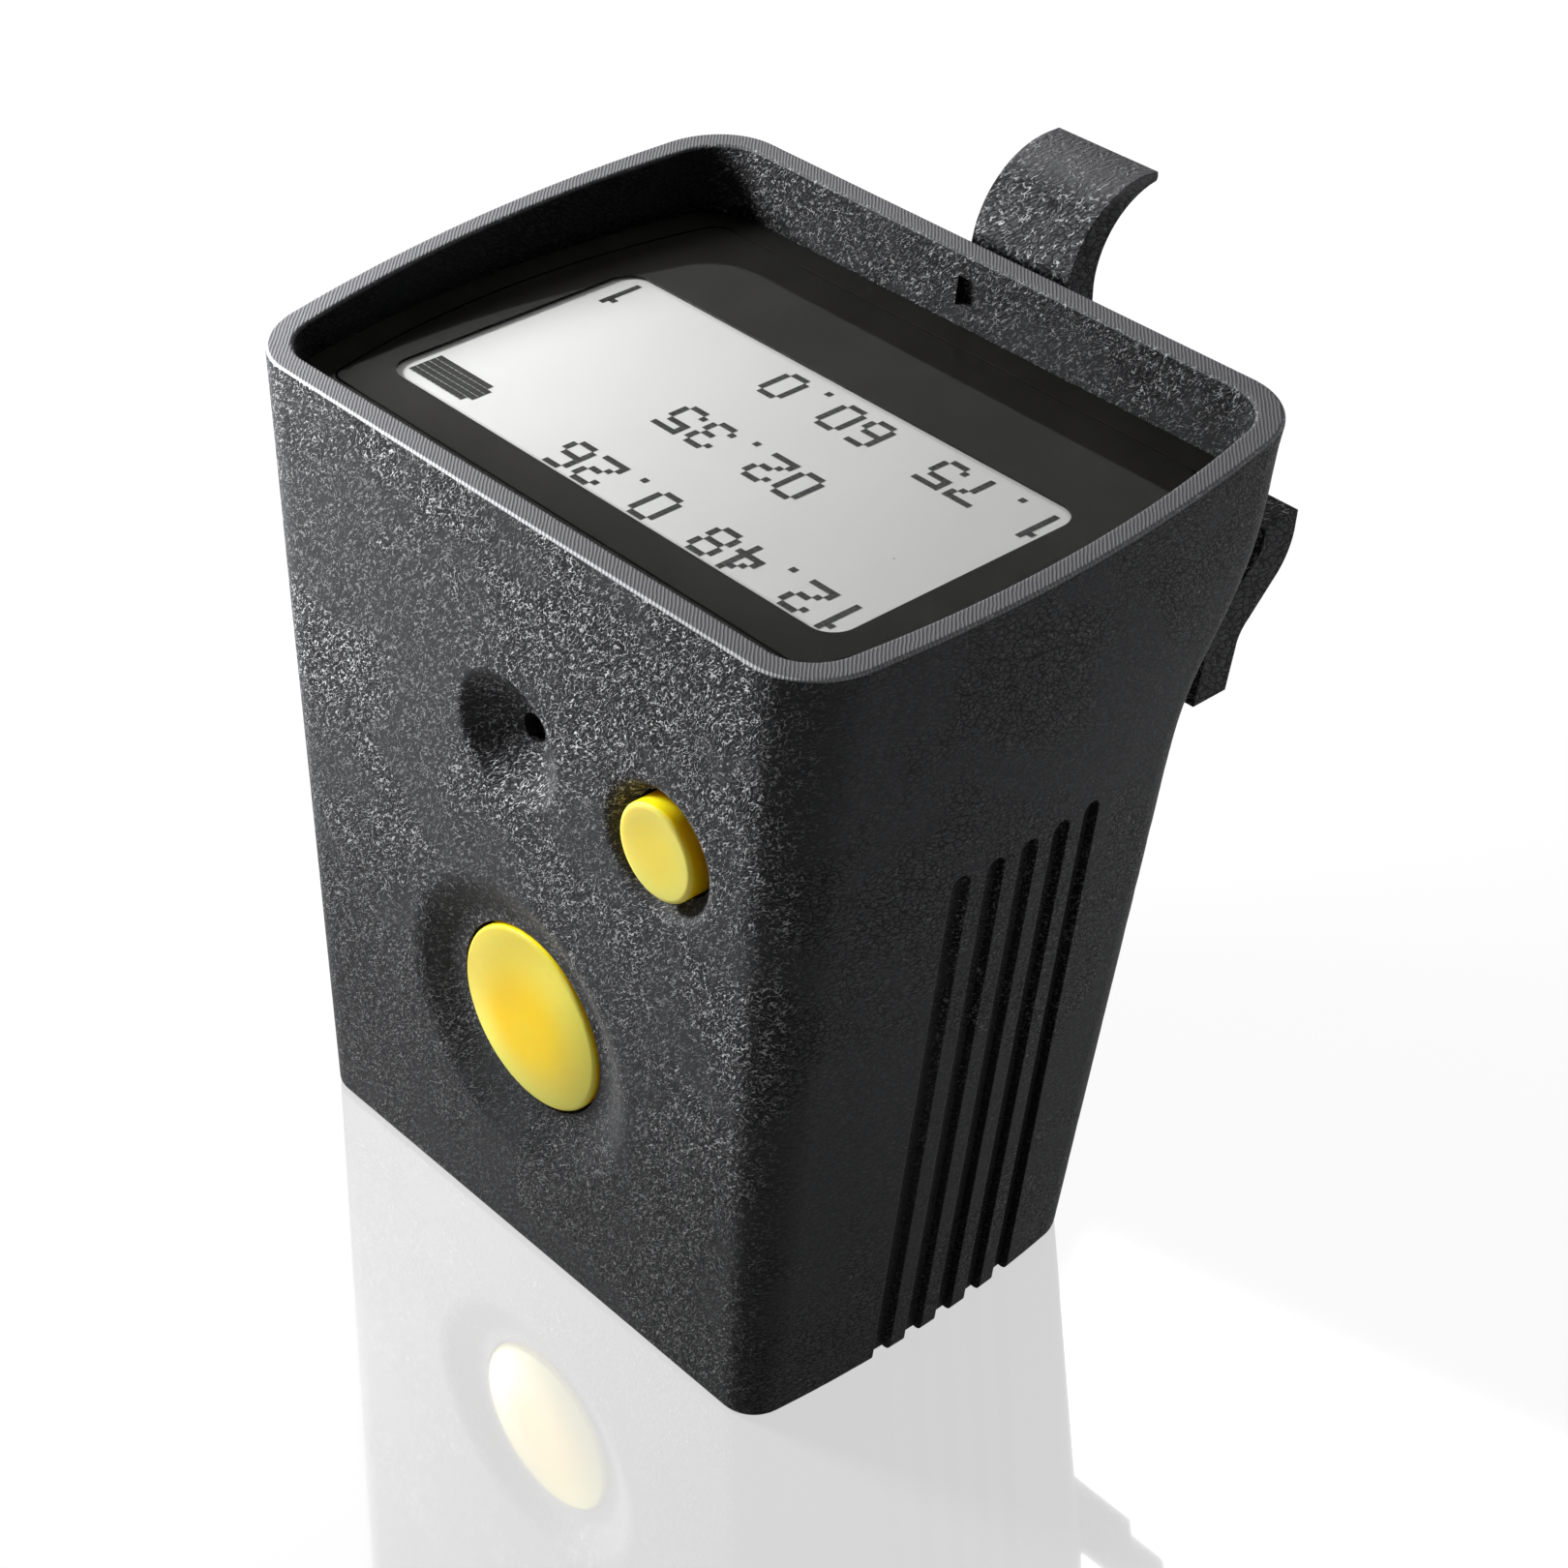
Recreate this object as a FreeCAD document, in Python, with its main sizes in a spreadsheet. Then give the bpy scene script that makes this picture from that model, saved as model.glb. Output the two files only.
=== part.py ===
import FreeCAD, Part
import Sketcher
import math
import os
import re

# Shot timer, in millimetres. +Z is up, the front with the buttons faces -Y, the belt clip +Y.
# The origin is the middle of the base.

# Driving dimensions: name, value, what it measures
dimensions = [
    ("base_width", 55.0, "width across the base at the fullest point of the bowed sides"),
    ("rim_width", 65.1, "the same width at the front rim's height"),
    ("base_depth", 34.4, "depth of the base from front to back"),
    ("front_lean", 0.4, "how far the front leans back up to the rim"),
    ("back_flare", 8.75, "how far the back leans out up to the rim"),
    ("shoulder_step", 4.3, "how far the back steps out below the rim"),
    ("waist_height", 46.5, "where the step starts"),
    ("shoulder_height", 61.5, "where the step ends"),
    ("front_height", 66.9, "height of the rim at the front"),
    ("rear_height", 70.2, "height of the rim at the back"),
    ("base_bulge", 1.35, "bow of each side at the base"),
    ("rim_bulge", 2.55, "bow of each side at the rim"),
    ("base_front_corner", 3.0, "front corner radius at the base"),
    ("rim_front_corner", 6.0, "front corner radius at the rim"),
    ("base_rear_corner", 4.0, "rear corner radius at the base"),
    ("rim_rear_corner", 6.2, "rear corner radius at the rim"),
    ("least_corner", 0.6, "smallest corner radius left inside a wall"),
    ("wall", 2.2, "wall of the housing"),
    ("rim_band", 1.9, "wall beside the display well"),
    ("base_edge", 0.6, "rounding of the outer base edge"),
    ("rim_edge", 0.3, "rounding of the rim's edges"),
    ("rim_trim", 4.8, "raw height above the rear rim that the sloped cut takes off"),
    ("cut_margin", 1.0, "how far cuts start outside the material"),

    ("window_recess", 1.3, "depth of the window below the front rim"),
    ("window_thickness", 1.0, "display window"),
    ("window_gap", 0.1, "gap between the window and the well"),
    ("film_thickness", 0.2, "printed mask, and the adhesive beside it"),
    ("film_gap", 0.2, "gap between mask and adhesive"),
    ("ledge_thickness", 1.5, "ledge that carries the window"),
    ("ledge_width", 2.2, "how far the ledge stands in from the wall"),
    ("view_side_border", 6.3, "from the side wall's inner face to the display opening"),
    ("view_front_border", 5.97, "from the front wall's inner face to the display opening"),
    ("view_rear_border", 12.6, "from the back wall's inner face to the display opening"),
    ("view_corner", 2.0, "corner radius of the display opening"),
    ("panel_side_margin", 0.9, "display glass beyond the opening at each side"),
    ("panel_end_margin", 2.35, "display glass beyond the opening at front and back"),
    ("panel_thickness", 1.8, "display glass"),
    ("panel_gap", 0.1, "air between glass and mask, and round the glass"),
    ("backlight_thickness", 2.4, "light guide"),
    ("carrier_thickness", 1.6, "display carrier"),
    ("carrier_wall", 1.2, "end walls of the carrier"),
    ("carrier_end_half", 20.0, "half the width of the end walls"),
    ("carrier_ear", 1.7, "half the width of a carrier ear"),
    ("carrier_ear_reach", 1.4, "ear beyond its screw"),
    ("carrier_screw_inset", 2.8, "from the inner wall to a carrier screw"),
    ("carrier_screw_setback", 3.65, "from the display opening's end to a carrier screw"),
    ("carrier_boss_radius", 2.3, "bosses under the ledge"),
    ("notch_half_width", 2.0, "half the width of the rear wall's notch"),
    ("notch_rise", 0.4, "notch's lower edge above the window"),
    ("notch_height", 2.3, "notch"),
    ("notch_depth", 0.9, "notch into the rear wall"),

    ("main_button_height", 21.95, "centre of the large button above the base"),
    ("main_button_radius", 7.69, "large button"),
    ("main_button_recess", 1.15, "large button's edge behind the front face"),
    ("main_button_dome", 0.7, "rise of the large button's middle"),
    ("main_hollow_land", 1.51, "flat floor of its hollow beyond the large button"),
    ("main_hollow_slope", 3.0, "from that floor's edge to the front face"),
    ("main_hollow_depth", 1.4, "depth of that floor"),
    ("main_hollow_edge", 2.5, "rounding at that hollow's lip and foot"),
    ("main_boss_reach", 1.3, "thickening behind the hollow, beyond the hollow"),
    ("main_flange_reach", 1.31, "flange that keeps the large button in, beyond the button"),
    ("small_button_side", 16.18, "small button's centre beside the middle"),
    ("small_button_height", 47.24, "small button's centre above the base"),
    ("small_button_radius", 3.78, "small button"),
    ("small_button_stand", 0.25, "small button's face in front of the front face"),
    ("small_hollow_radius", 5.2, "hollow round the small button at the front face"),
    ("small_hollow_depth", 3.07, "depth of that hollow's full cap"),
    ("small_hollow_edge", 1.0, "rounding where that hollow meets the front face"),
    ("small_boss_radius", 6.5, "thickening behind the small hollow"),
    ("small_flange_reach", 1.12, "flange that keeps the small button in, beyond the button"),
    ("button_gap", 0.26, "gap between a button and its hole"),
    ("button_edge", 0.4, "rounding of a button's edge"),
    ("crown_reach", 0.6, "flat of the crown as a share of the button's radius"),
    ("crown_bend", 2.5, "bend of the crown as a share of the button's radius"),
    ("button_seat", 3.7, "from the front to the face the flanges rest on"),
    ("button_rest_gap", 0.1, "play between flange and seat"),
    ("flange_thickness", 1.0, "button flanges"),
    ("stem_radius", 2.0, "button stems"),
    ("microphone_height", 47.76, "centre of the microphone hollow above the base"),
    ("microphone_hollow_radius", 5.28, "microphone hollow at the front face"),
    ("microphone_hollow_depth", 2.6, "microphone hollow"),
    ("microphone_hollow_edge", 1.0, "rounding where that hollow meets the front face"),
    ("microphone_hole_radius", 1.2, "hole in the middle of that hollow"),
    ("microphone_boss_radius", 6.5, "thickening behind that hollow"),
    ("microphone_seat", 4.0, "from the front to the microphone boot"),
    ("microphone_radius", 3.0, "capsule"),
    ("boot_wall", 1.2, "rubber boot round the capsule"),
    ("boot_lip", 0.8, "front lip of the boot"),
    ("boot_length", 4.2, "boot"),

    ("groove_start", 12.4, "first grip groove's foot behind the front"),
    ("groove_pitch", 3.2, "from one groove to the next"),
    ("groove_count", 5, "grooves on each side"),
    ("groove_width", 1.75, "groove"),
    ("groove_depth", 0.8, "groove"),
    ("groove_end_share", 0.49, "end radius as a share of the groove's width"),
    ("groove_lean", 2.3, "how far a groove leans back"),

    ("board_setback", 10.3, "from the front to the circuit board"),
    ("board_thickness", 1.6, "circuit board"),
    ("board_side_gap", 1.95, "between board and wall"),
    ("board_corner", 1.0, "corners of the board, the tray and the battery"),
    ("board_end_gap", 0.8, "between the board and the pieces above and below"),
    ("post_inset", 2.0, "board screws in from the board's sides"),
    ("post_radius", 2.2, "posts of the board"),
    ("lower_post_rise", 10.8, "lower board screws above the board's foot"),
    ("upper_post_drop", 3.0, "upper board screws below the board's top"),
    ("screw_radius", 0.8, "shank of the small screws"),
    ("screw_head_radius", 1.6, "head of the small screws"),
    ("screw_head_height", 1.2, "head of the small screws"),
    ("screw_play", 0.15, "hole beyond a screw's shank"),
    ("pilot_play", 0.02, "pilot hole beyond a screw's shank"),
    ("screw_length", 4.5, "shank of the small screws"),
    ("carrier_screw_length", 4.0, "shank of the carrier screws"),
    ("cover_screw_length", 7.0, "shank of the base screws"),
    ("pilot_spare", 0.7, "pilot holes beyond the tips of the base screws"),
    ("switch_width", 6.0, "tactile switch"),
    ("switch_depth", 3.5, "tactile switch in front of the board"),
    ("plunger_radius", 1.75, "plunger of a switch"),
    ("plunger_reach", 1.2, "plunger in front of its switch, and inside it"),
    ("plunger_play", 0.05, "running fit of a plunger"),
    ("switch_floor", 0.8, "switch left behind the plunger's bore"),
    ("processor_rise", 21.6, "controller chip above the board's foot"),
    ("processor_width", 7.0, "controller chip"),
    ("processor_thickness", 0.9, "controller chip"),
    ("radio_width", 12.0, "radio module"),
    ("radio_height", 14.0, "radio module"),
    ("radio_thickness", 2.2, "radio module"),
    ("flex_width", 12.0, "ribbon of the display"),
    ("flex_thickness", 0.25, "ribbon of the display"),
    ("flex_bend", 0.9, "inner bend of the ribbon"),
    ("flex_drop", 4.0, "ribbon's end below the board's top"),
    ("flex_standoff", 1.3, "ribbon in front of the display glass"),
    ("port_width", 8.94, "charging socket"),
    ("port_depth", 3.2, "charging socket"),
    ("port_length", 7.3, "charging socket"),
    ("port_shell", 0.3, "sheet of the charging socket"),
    ("port_tongue", 0.7, "tongue inside the socket"),
    ("port_corner", 1.25, "rounding of the socket's mouth"),
    ("port_floor", 1.4, "closed end of the socket"),
    ("port_gap", 0.2, "round the socket's mouth"),
    ("battery_thickness", 7.0, "battery"),
    ("tray_wall", 1.1, "battery tray"),
    ("tray_gap", 0.2, "beside the tray, and round the battery"),
    ("tray_lip", 4.2, "height of the tray's walls"),
    ("buzzer_side", 11.0, "buzzer's centre beside the middle"),
    ("buzzer_radius", 5.0, "buzzer"),
    ("buzzer_height", 5.0, "buzzer"),
    ("buzzer_gap", 0.5, "between buzzer and back wall"),
    ("foam_thickness", 1.2, "ring under the buzzer"),
    ("foam_width", 1.1, "ring under the buzzer"),
    ("sound_hole_radius", 0.8, "sound holes"),
    ("sound_ring_radius", 2.6, "ring of sound holes"),

    ("cover_thickness", 2.2, "base cover, flush with the housing's foot"),
    ("cover_head_sink", 0.3, "base screws' heads above the base"),
    ("cover_gap", 0.1, "round the base cover"),
    ("rebate_wall", 1.5, "housing wall beside the base cover"),
    ("gasket_thickness", 0.6, "seal above the base cover"),
    ("cover_post_inset", 4.2, "base screws in from the inner front and back"),
    ("cover_post_side", 6.0, "base screws in from the base's side"),
    ("cover_post_radius", 2.75, "posts of the base screws"),
    ("cover_post_height", 9.2, "posts of the base screws"),

    ("plate_half_width", 26.0, "half the clip plate's width"),
    ("plate_thickness", 3.5, "clip plate"),
    ("plate_foot", 2.5, "plate's foot in front of the rim's back"),
    ("plate_hip", 1.45, "plate's lower bend in front of the rim's back"),
    ("plate_brow", 3.4, "plate's upper bend behind the rim's back"),
    ("plate_top", 3.6, "plate's top behind the rim's back"),
    ("plate_foot_drop", 1.6, "plate's foot below the waist"),
    ("plate_hip_rise", 3.75, "plate's lower bend above the waist"),
    ("plate_brow_drop", 6.3, "plate's upper bend below the shoulder"),
    ("plate_top_drop", 3.8, "plate's top below the shoulder"),
    ("plate_hip_radius", 5.0, "plate's lower bend"),
    ("plate_brow_radius", 4.0, "plate's upper bend"),
    ("tongue_half_width", 5.0, "half the tongue's width"),
    ("tongue_inner", 2.05, "tongue's inner face behind the rim's back"),
    ("tongue_outer", 5.35, "tongue's foot at its outer face"),
    ("tongue_knee", 4.85, "tongue's outer knee"),
    ("tongue_tip", 11.25, "tongue's tip behind the rim's back"),
    ("tongue_rise", 5.0, "tongue's top above the rear rim"),
    ("tongue_tip_thickness", 0.8, "tongue at its tip"),
    ("tongue_taper", 1.6, "tongue's outer knee below its top"),
    ("tongue_inner_radius", 7.9, "inner curl"),
    ("tongue_outer_radius", 7.0, "outer curl"),
    ("tongue_tip_radius", 0.3, "rounding of the tip"),
    ("leaf_half_width", 11.0, "half the width of the leaf that holds the belt"),
    ("leaf_thickness", 2.4, "leaf"),
    ("leaf_root", 2.05, "leaf's root in front of the rim's back"),
    ("leaf_belly", 0.35, "leaf's belly behind the rim's back"),
    ("leaf_belly_height", 30.0, "leaf's belly above the base"),
    ("leaf_belly_radius", 25.0, "bend of the belly"),
    ("leaf_heel", 1.7, "leaf's heel behind the back wall"),
    ("leaf_heel_height", 7.0, "leaf's heel above the base"),
    ("leaf_heel_radius", 3.0, "bend of the heel"),
    ("leaf_flare", 1.45, "how far the leaf's foot turns out again"),
    ("leaf_foot_height", 3.8, "leaf's foot above the base"),
    ("pivot_setback", 4.65, "clip pivot in front of the rim's back"),
    ("pivot_rise", 2.0, "clip pivot above the waist"),
    ("pin_radius", 1.0, "clip pin"),
    ("pin_play", 0.05, "running fit on the pin"),
    ("pin_seat_play", 0.02, "pin in its lugs"),
    ("knuckle_radius", 1.9, "knuckles and lugs round the pin"),
    ("knuckle_inner", 8.5, "knuckle's inner end beside the middle"),
    ("knuckle_outer", 12.7, "knuckle's outer end"),
    ("knuckle_gap", 0.3, "between a knuckle and its neighbours"),
    ("lug_width", 4.0, "lug along the pin"),
    ("lug_clearance", 0.4, "round a lug in the plate"),
    ("spring_room", 2.8, "radius of the hollow for the spring"),
    ("spring_radius", 1.55, "middle of the spring's wire"),
    ("spring_wire_half", 0.2, "half the side of the square spring wire"),
    ("spring_half_width", 3.6, "half the coil's width"),
    ("spring_turns", 3, "turns of the spring"),
    ("spring_leg", 3.2, "spring's leg along the back wall"),
    ("spring_plate_leg", 2.5, "spring's leg along the plate"),
    ("spring_wall_angle", 24, "degrees from the level to the leg at the back wall"),
    ("spring_plate_angle", -10, "degrees from the level to the leg at the plate"),
    ("mount_half_width", 18.0, "half the width of the clip's base"),
    ("mount_thickness", 1.6, "clip base"),
    ("mount_gap", 0.1, "between the clip base and the back wall"),
    ("mount_foot", 30.0, "clip base's lower edge above the base"),
    ("mount_top_drop", 0.5, "clip base's upper edge below the waist"),
    ("mount_screw_side", 9.0, "clip screws beside the middle"),
    ("mount_screw_height", 36.0, "clip screws above the base"),
    ("mount_screw_radius", 1.0, "shank of the clip screws"),
    ("mount_head_radius", 1.8, "head of the clip screws"),
    ("mount_head_height", 0.9, "head of the clip screws"),
    ("mount_boss_radius", 2.6, "boss behind a clip screw"),
    ("mount_boss_depth", 2.0, "boss behind a clip screw"),
    ("arm_drop", 4.8, "foot of the clip base's arms below the waist"),
    ("lug_path_drop", 3.2, "cut for the arms in the plate, below the waist"),
]

document = FreeCAD.newDocument("ShotTimer")
sheet = document.addObject("Spreadsheet::Sheet", "Sizes")
for row, (name, value, meaning) in enumerate(dimensions, 1):
    sheet.set(f"A{row}", meaning)
    sheet.set(f"B{row}", str(value))
    sheet.setAlias(f"B{row}", name)
document.recompute()
names = {name for name, value, meaning in dimensions}


def tied(formula):
    """The formula with each dimension's name pointing at its cell."""
    return re.sub(r"[a-z][a-z_]*",
                  lambda word: f"Sizes.{word[0]}" if word[0] in names else word[0],
                  str(formula))


def number(formula):
    """The formula's value in millimetres."""
    value = sheet.evalExpression(tied(formula))
    return float(getattr(value, "Value", value))


# Places that several pieces share, as formulas of the dimensions

def half_at(level):
    """Half the housing's width at a level."""
    return f"((base_width + (rim_width - base_width) * ({level}) / front_height) / 2)"


def front_at(level):
    """The front face at a level."""
    return f"(-base_depth / 2 + front_lean * ({level}) / front_height)"


def back_at(level):
    """The back face at a level: a lean, and a smooth step between waist and shoulder."""
    rise = f"min(max((({level}) - waist_height) / (shoulder_height - waist_height); 0); 1)"
    return (f"(base_depth / 2 + back_flare * ({level}) / rear_height"
            f" + shoulder_step * {rise}^2 * (3 - 2 * {rise}))")


def blend(at_base, at_rim, level):
    """A size that grows evenly from the base to the rim."""
    return f"({at_base} + ({at_rim} - {at_base}) * ({level}) / front_height)"


loft_top = "(rear_height + rim_trim)"
rim_back = "(base_depth / 2 + back_flare + shoulder_step)"
window_bottom = "(front_height - window_recess - window_thickness)"
window_top = "(front_height - window_recess)"
ledge_top = f"({window_bottom} - film_thickness)"
ledge_bottom = f"({ledge_top} - ledge_thickness)"
view_half = f"({half_at(ledge_top)} - wall - view_side_border)"
view_front = f"({front_at(ledge_top)} + wall + view_front_border)"
view_back = f"({back_at(ledge_top)} - wall - view_rear_border)"
panel_half = f"({view_half} + panel_side_margin)"
panel_front = f"({view_front} - panel_end_margin)"
panel_back = f"({view_back} + panel_end_margin)"
panel_top = f"({ledge_top} - panel_gap)"
panel_bottom = f"({panel_top} - panel_thickness)"
backlight_bottom = f"({panel_bottom} - backlight_thickness)"
carrier_bottom = f"({backlight_bottom} - carrier_thickness)"
carrier_screw_x = f"({half_at(ledge_bottom)} - wall - carrier_screw_inset)"
carrier_screw_ys = [f"({view_front} + carrier_screw_setback)", f"({view_back} - carrier_screw_setback)"]
in_front_wall = "(-base_depth / 2 + wall / 2)"
seat_face = "(-base_depth / 2 + button_seat)"
main_hollow_floor = "(main_button_radius + main_hollow_land)"
main_hollow_radius = f"({main_hollow_floor} + main_hollow_slope)"
microphone_face = "(-base_depth / 2 + microphone_seat)"
board_front = "(-base_depth / 2 + board_setback)"
board_back = f"({board_front} + board_thickness)"
plunger_front = f"({board_front} - switch_depth - plunger_reach)"
cover_top = "cover_thickness"
gasket_top = f"({cover_top} + gasket_thickness)"
board_half = "(base_width / 2 - base_bulge - wall - board_side_gap)"
board_bottom = f"({cover_top} + board_end_gap)"
board_top = f"({carrier_bottom} - board_end_gap)"
post_x = f"({board_half} - post_inset)"
post_zs = [f"({board_bottom} + lower_post_rise)", f"({board_top} - upper_post_drop)"]
port_bottom = f"({cover_top} + port_gap)"
port_top = f"({port_bottom} + port_length)"
tray_half = f"({post_x} - screw_head_radius - tray_gap)"
tray_bottom = f"({port_top} + board_end_gap)"
tray_top = f"({board_top} - post_inset)"
battery_half = f"({tray_half} - tray_wall - tray_gap)"
cover_screw_seat = "(cover_head_sink + screw_head_height)"
cover_post_x = "(base_width / 2 - cover_post_side)"
cover_post_ys = ["(-base_depth / 2 + cover_post_inset)", "(base_depth / 2 - cover_post_inset)"]
buzzer_y = "(base_depth / 2 - wall - buzzer_gap - buzzer_radius)"
pivot_y = f"({rim_back} - pivot_setback)"
pivot_z = "(waist_height + pivot_rise)"
mount_top = "(waist_height - mount_top_drop)"
mount_face = f"({back_at('mount_screw_height')} + mount_thickness)"


# Sketch shapes: each call returns a function that draws into a sketch and ties its sizes

def dimension(sketch, kind, *target):
    """A sketch constraint whose last entry is a formula."""
    *points, formula = target
    index = sketch.addConstraint(Sketcher.Constraint(kind, *points, number(formula)))
    sketch.setExpression(f"Constraints[{index}]", tied(formula))


def pin_point(sketch, item, end, x, y):
    """Holds a point of the sketch at x and y."""
    dimension(sketch, "DistanceX", -1, 1, item, end, x)
    dimension(sketch, "DistanceY", -1, 1, item, end, y)


def flat_arc(centre, radius, start, end):
    """An arc that runs counterclockwise between two angles."""
    ring = Part.Circle(centre, FreeCAD.Vector(0, 0, 1), radius)
    return Part.ArcOfCircle(ring, start, end)


def circle(x, y, radius):
    def draw(sketch):
        centre = FreeCAD.Vector(number(x), number(y), 0)
        ring = Part.Circle(centre, FreeCAD.Vector(0, 0, 1), number(radius))
        item = sketch.addGeometry(ring, False)
        dimension(sketch, "Radius", item, radius)
        pin_point(sketch, item, 3, x, y)
    return draw


def outline(corners, closed=True):
    """Straight sides through corners (x, y), with a tangent arc where (x, y, radius) is given."""
    def draw(sketch):
        count = len(corners)
        points = [FreeCAD.Vector(number(corner[0]), number(corner[1]), 0) for corner in corners]
        bends = []
        for index, point in enumerate(points):
            if len(corners[index]) < 3:
                bends.append((point, point, None))
                continue
            radius = number(corners[index][2])
            to_last = (points[index - 1] - point).normalize()
            to_next = (points[(index + 1) % count] - point).normalize()
            half_angle = to_last.getAngle(to_next) / 2
            cut = radius / math.tan(half_angle)
            centre = point + (to_last + to_next).normalize() * (radius / math.sin(half_angle))
            begin = point + to_last * cut
            finish = point + to_next * cut
            left_turn = to_last.cross(to_next).z < 0
            first, last = (begin, finish) if left_turn else (finish, begin)
            angles = [math.atan2(end.y - centre.y, end.x - centre.x) for end in (first, last)]
            if angles[1] < angles[0]:
                angles[1] += 2 * math.pi
            bends.append((begin, finish, (flat_arc(centre, radius, *angles), left_turn)))
        sides = []
        arcs = []
        for index in range(count):
            bend = bends[index][2]
            arcs.append(sketch.addGeometry(bend[0], False) if bend else None)
            if closed or index < count - 1:
                side = Part.LineSegment(bends[index][1], bends[(index + 1) % count][0])
                sides.append(sketch.addGeometry(side, False))
        for index, corner in enumerate(corners):
            if not closed and index in (0, count - 1):
                side, end = (sides[0], 1) if index == 0 else (sides[-1], 2)
                pin_point(sketch, side, end, corner[0], corner[1])
                continue
            before = sides[index - 1]
            after = sides[index]
            if arcs[index] is None:
                sketch.addConstraint(Sketcher.Constraint("Coincident", before, 2, after, 1))
                pin_point(sketch, after, 1, corner[0], corner[1])
                continue
            begin, finish = (1, 2) if bends[index][2][1] else (2, 1)
            sketch.addConstraint(Sketcher.Constraint("Tangent", before, 2, arcs[index], begin))
            sketch.addConstraint(Sketcher.Constraint("Tangent", arcs[index], finish, after, 1))
            dimension(sketch, "Radius", arcs[index], corner[2])
            tip = sketch.addGeometry(Part.Point(points[index]), True)
            sketch.addConstraint(Sketcher.Constraint("PointOnObject", tip, 1, before))
            sketch.addConstraint(Sketcher.Constraint("PointOnObject", tip, 1, after))
            pin_point(sketch, tip, 1, corner[0], corner[1])
    return draw


def rectangle(left, right, low, high, radius=None):
    corners = [(left, low), (right, low), (right, high), (left, high)]
    if radius:
        corners = [corner + (radius,) for corner in corners]
    return outline(corners)


def plan(level, inset):
    """The housing's plan at a level, moved in by an inset: flat front and back, bowed sides."""
    half = f"({half_at(level)} - ({inset}))"
    front = f"({front_at(level)} + ({inset}))"
    back = f"({back_at(level)} - ({inset}))"
    bulge = blend("base_bulge", "rim_bulge", level)
    front_corner = f"max({blend('base_front_corner', 'rim_front_corner', level)} - ({inset}); least_corner)"
    rear_corner = f"max({blend('base_rear_corner', 'rim_rear_corner', level)} - ({inset}); least_corner)"
    side_radius = f"((({back} - {front}) / 2)^2 + {bulge}^2) / (2 * {bulge})"
    middle = f"({front} + {back}) / 2"

    def draw(sketch):
        bow = number(side_radius)
        centre_x = number(half) - bow
        centre_y = number(middle)
        corners = []
        ends = ((front_corner, number(front), 1), (rear_corner, number(back), -1))
        for radius_formula, line_y, side in ends:
            radius = number(radius_formula)
            y = line_y + side * radius
            x = centre_x + math.sqrt((bow - radius)**2 - (y - centre_y)**2)
            corners.append((x, y, radius, math.atan2(y - centre_y, x - centre_x)))
        (front_x, front_y, front_radius, front_angle), (rear_x, rear_y, rear_radius, rear_angle) = corners
        quarter = math.pi / 2
        at = FreeCAD.Vector
        shapes = [
            Part.LineSegment(at(-front_x, number(front), 0), at(front_x, number(front), 0)),
            flat_arc(at(front_x, front_y, 0), front_radius, -quarter, front_angle),
            flat_arc(at(centre_x, centre_y, 0), bow, front_angle, rear_angle),
            flat_arc(at(rear_x, rear_y, 0), rear_radius, rear_angle, quarter),
            Part.LineSegment(at(rear_x, number(back), 0), at(-rear_x, number(back), 0)),
            flat_arc(at(-rear_x, rear_y, 0), rear_radius, quarter, 2 * quarter - rear_angle),
            flat_arc(at(-centre_x, centre_y, 0), bow, 2 * quarter - rear_angle, 2 * quarter - front_angle),
            flat_arc(at(-front_x, front_y, 0), front_radius, 2 * quarter - front_angle, 3 * quarter),
        ]
        items = [sketch.addGeometry(shape, False) for shape in shapes]
        for index, item in enumerate(items):
            following = items[(index + 1) % len(items)]
            sketch.addConstraint(Sketcher.Constraint("Tangent", item, 2, following, 1))
        for index, height in ((0, front), (4, back)):
            sketch.addConstraint(Sketcher.Constraint("Horizontal", items[index]))
            dimension(sketch, "DistanceY", -1, 1, items[index], 1, height)
        for index, radius in ((1, front_corner), (7, front_corner), (3, rear_corner), (5, rear_corner)):
            dimension(sketch, "Radius", items[index], radius)
        for index, sign in ((2, ""), (6, "-")):
            dimension(sketch, "Radius", items[index], side_radius)
            pin_point(sketch, items[index], 3, f"{sign}({half} - {side_radius})", middle)
    return draw


# Features

def new_body(label):
    body = document.addObject("PartDesign::Body", label)
    body.Label = label
    return body


def drawing(body, name, plane, offset, shapes):
    """A sketch on one of the body's own planes, moved along the plane's normal."""
    sketch = body.newObject("Sketcher::SketchObject", name)
    support = [item for item in body.Origin.OriginFeatures if item.Role == plane][0]
    sketch.AttachmentSupport = (support, [""])
    sketch.MapMode = "FlatFace"
    sketch.AttachmentOffset = FreeCAD.Placement(FreeCAD.Vector(0, 0, number(offset)), FreeCAD.Rotation())
    sketch.setExpression("AttachmentOffset.Base.z", tied(offset))
    for draw in shapes:
        draw(sketch)
    return sketch


def extrude(body, name, plane, start, end, shapes, cut=False):
    """Adds or cuts the shapes between two places on the axis that is square to the plane."""
    faces_front = plane == "XZ_Plane"
    sketch = drawing(body, f"{name}Sketch", plane, f"-({start})" if faces_front else start, shapes)
    feature = body.newObject("PartDesign::Pocket" if cut else "PartDesign::Pad", name)
    feature.Profile = sketch
    feature.Length = number(f"({end}) - ({start})")
    feature.setExpression("Length", tied(f"({end}) - ({start})"))
    feature.Reversed = faces_front != cut
    return feature


def cut(body, name, plane, start, end, shapes):
    return extrude(body, name, plane, start, end, shapes, cut=True)


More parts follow.
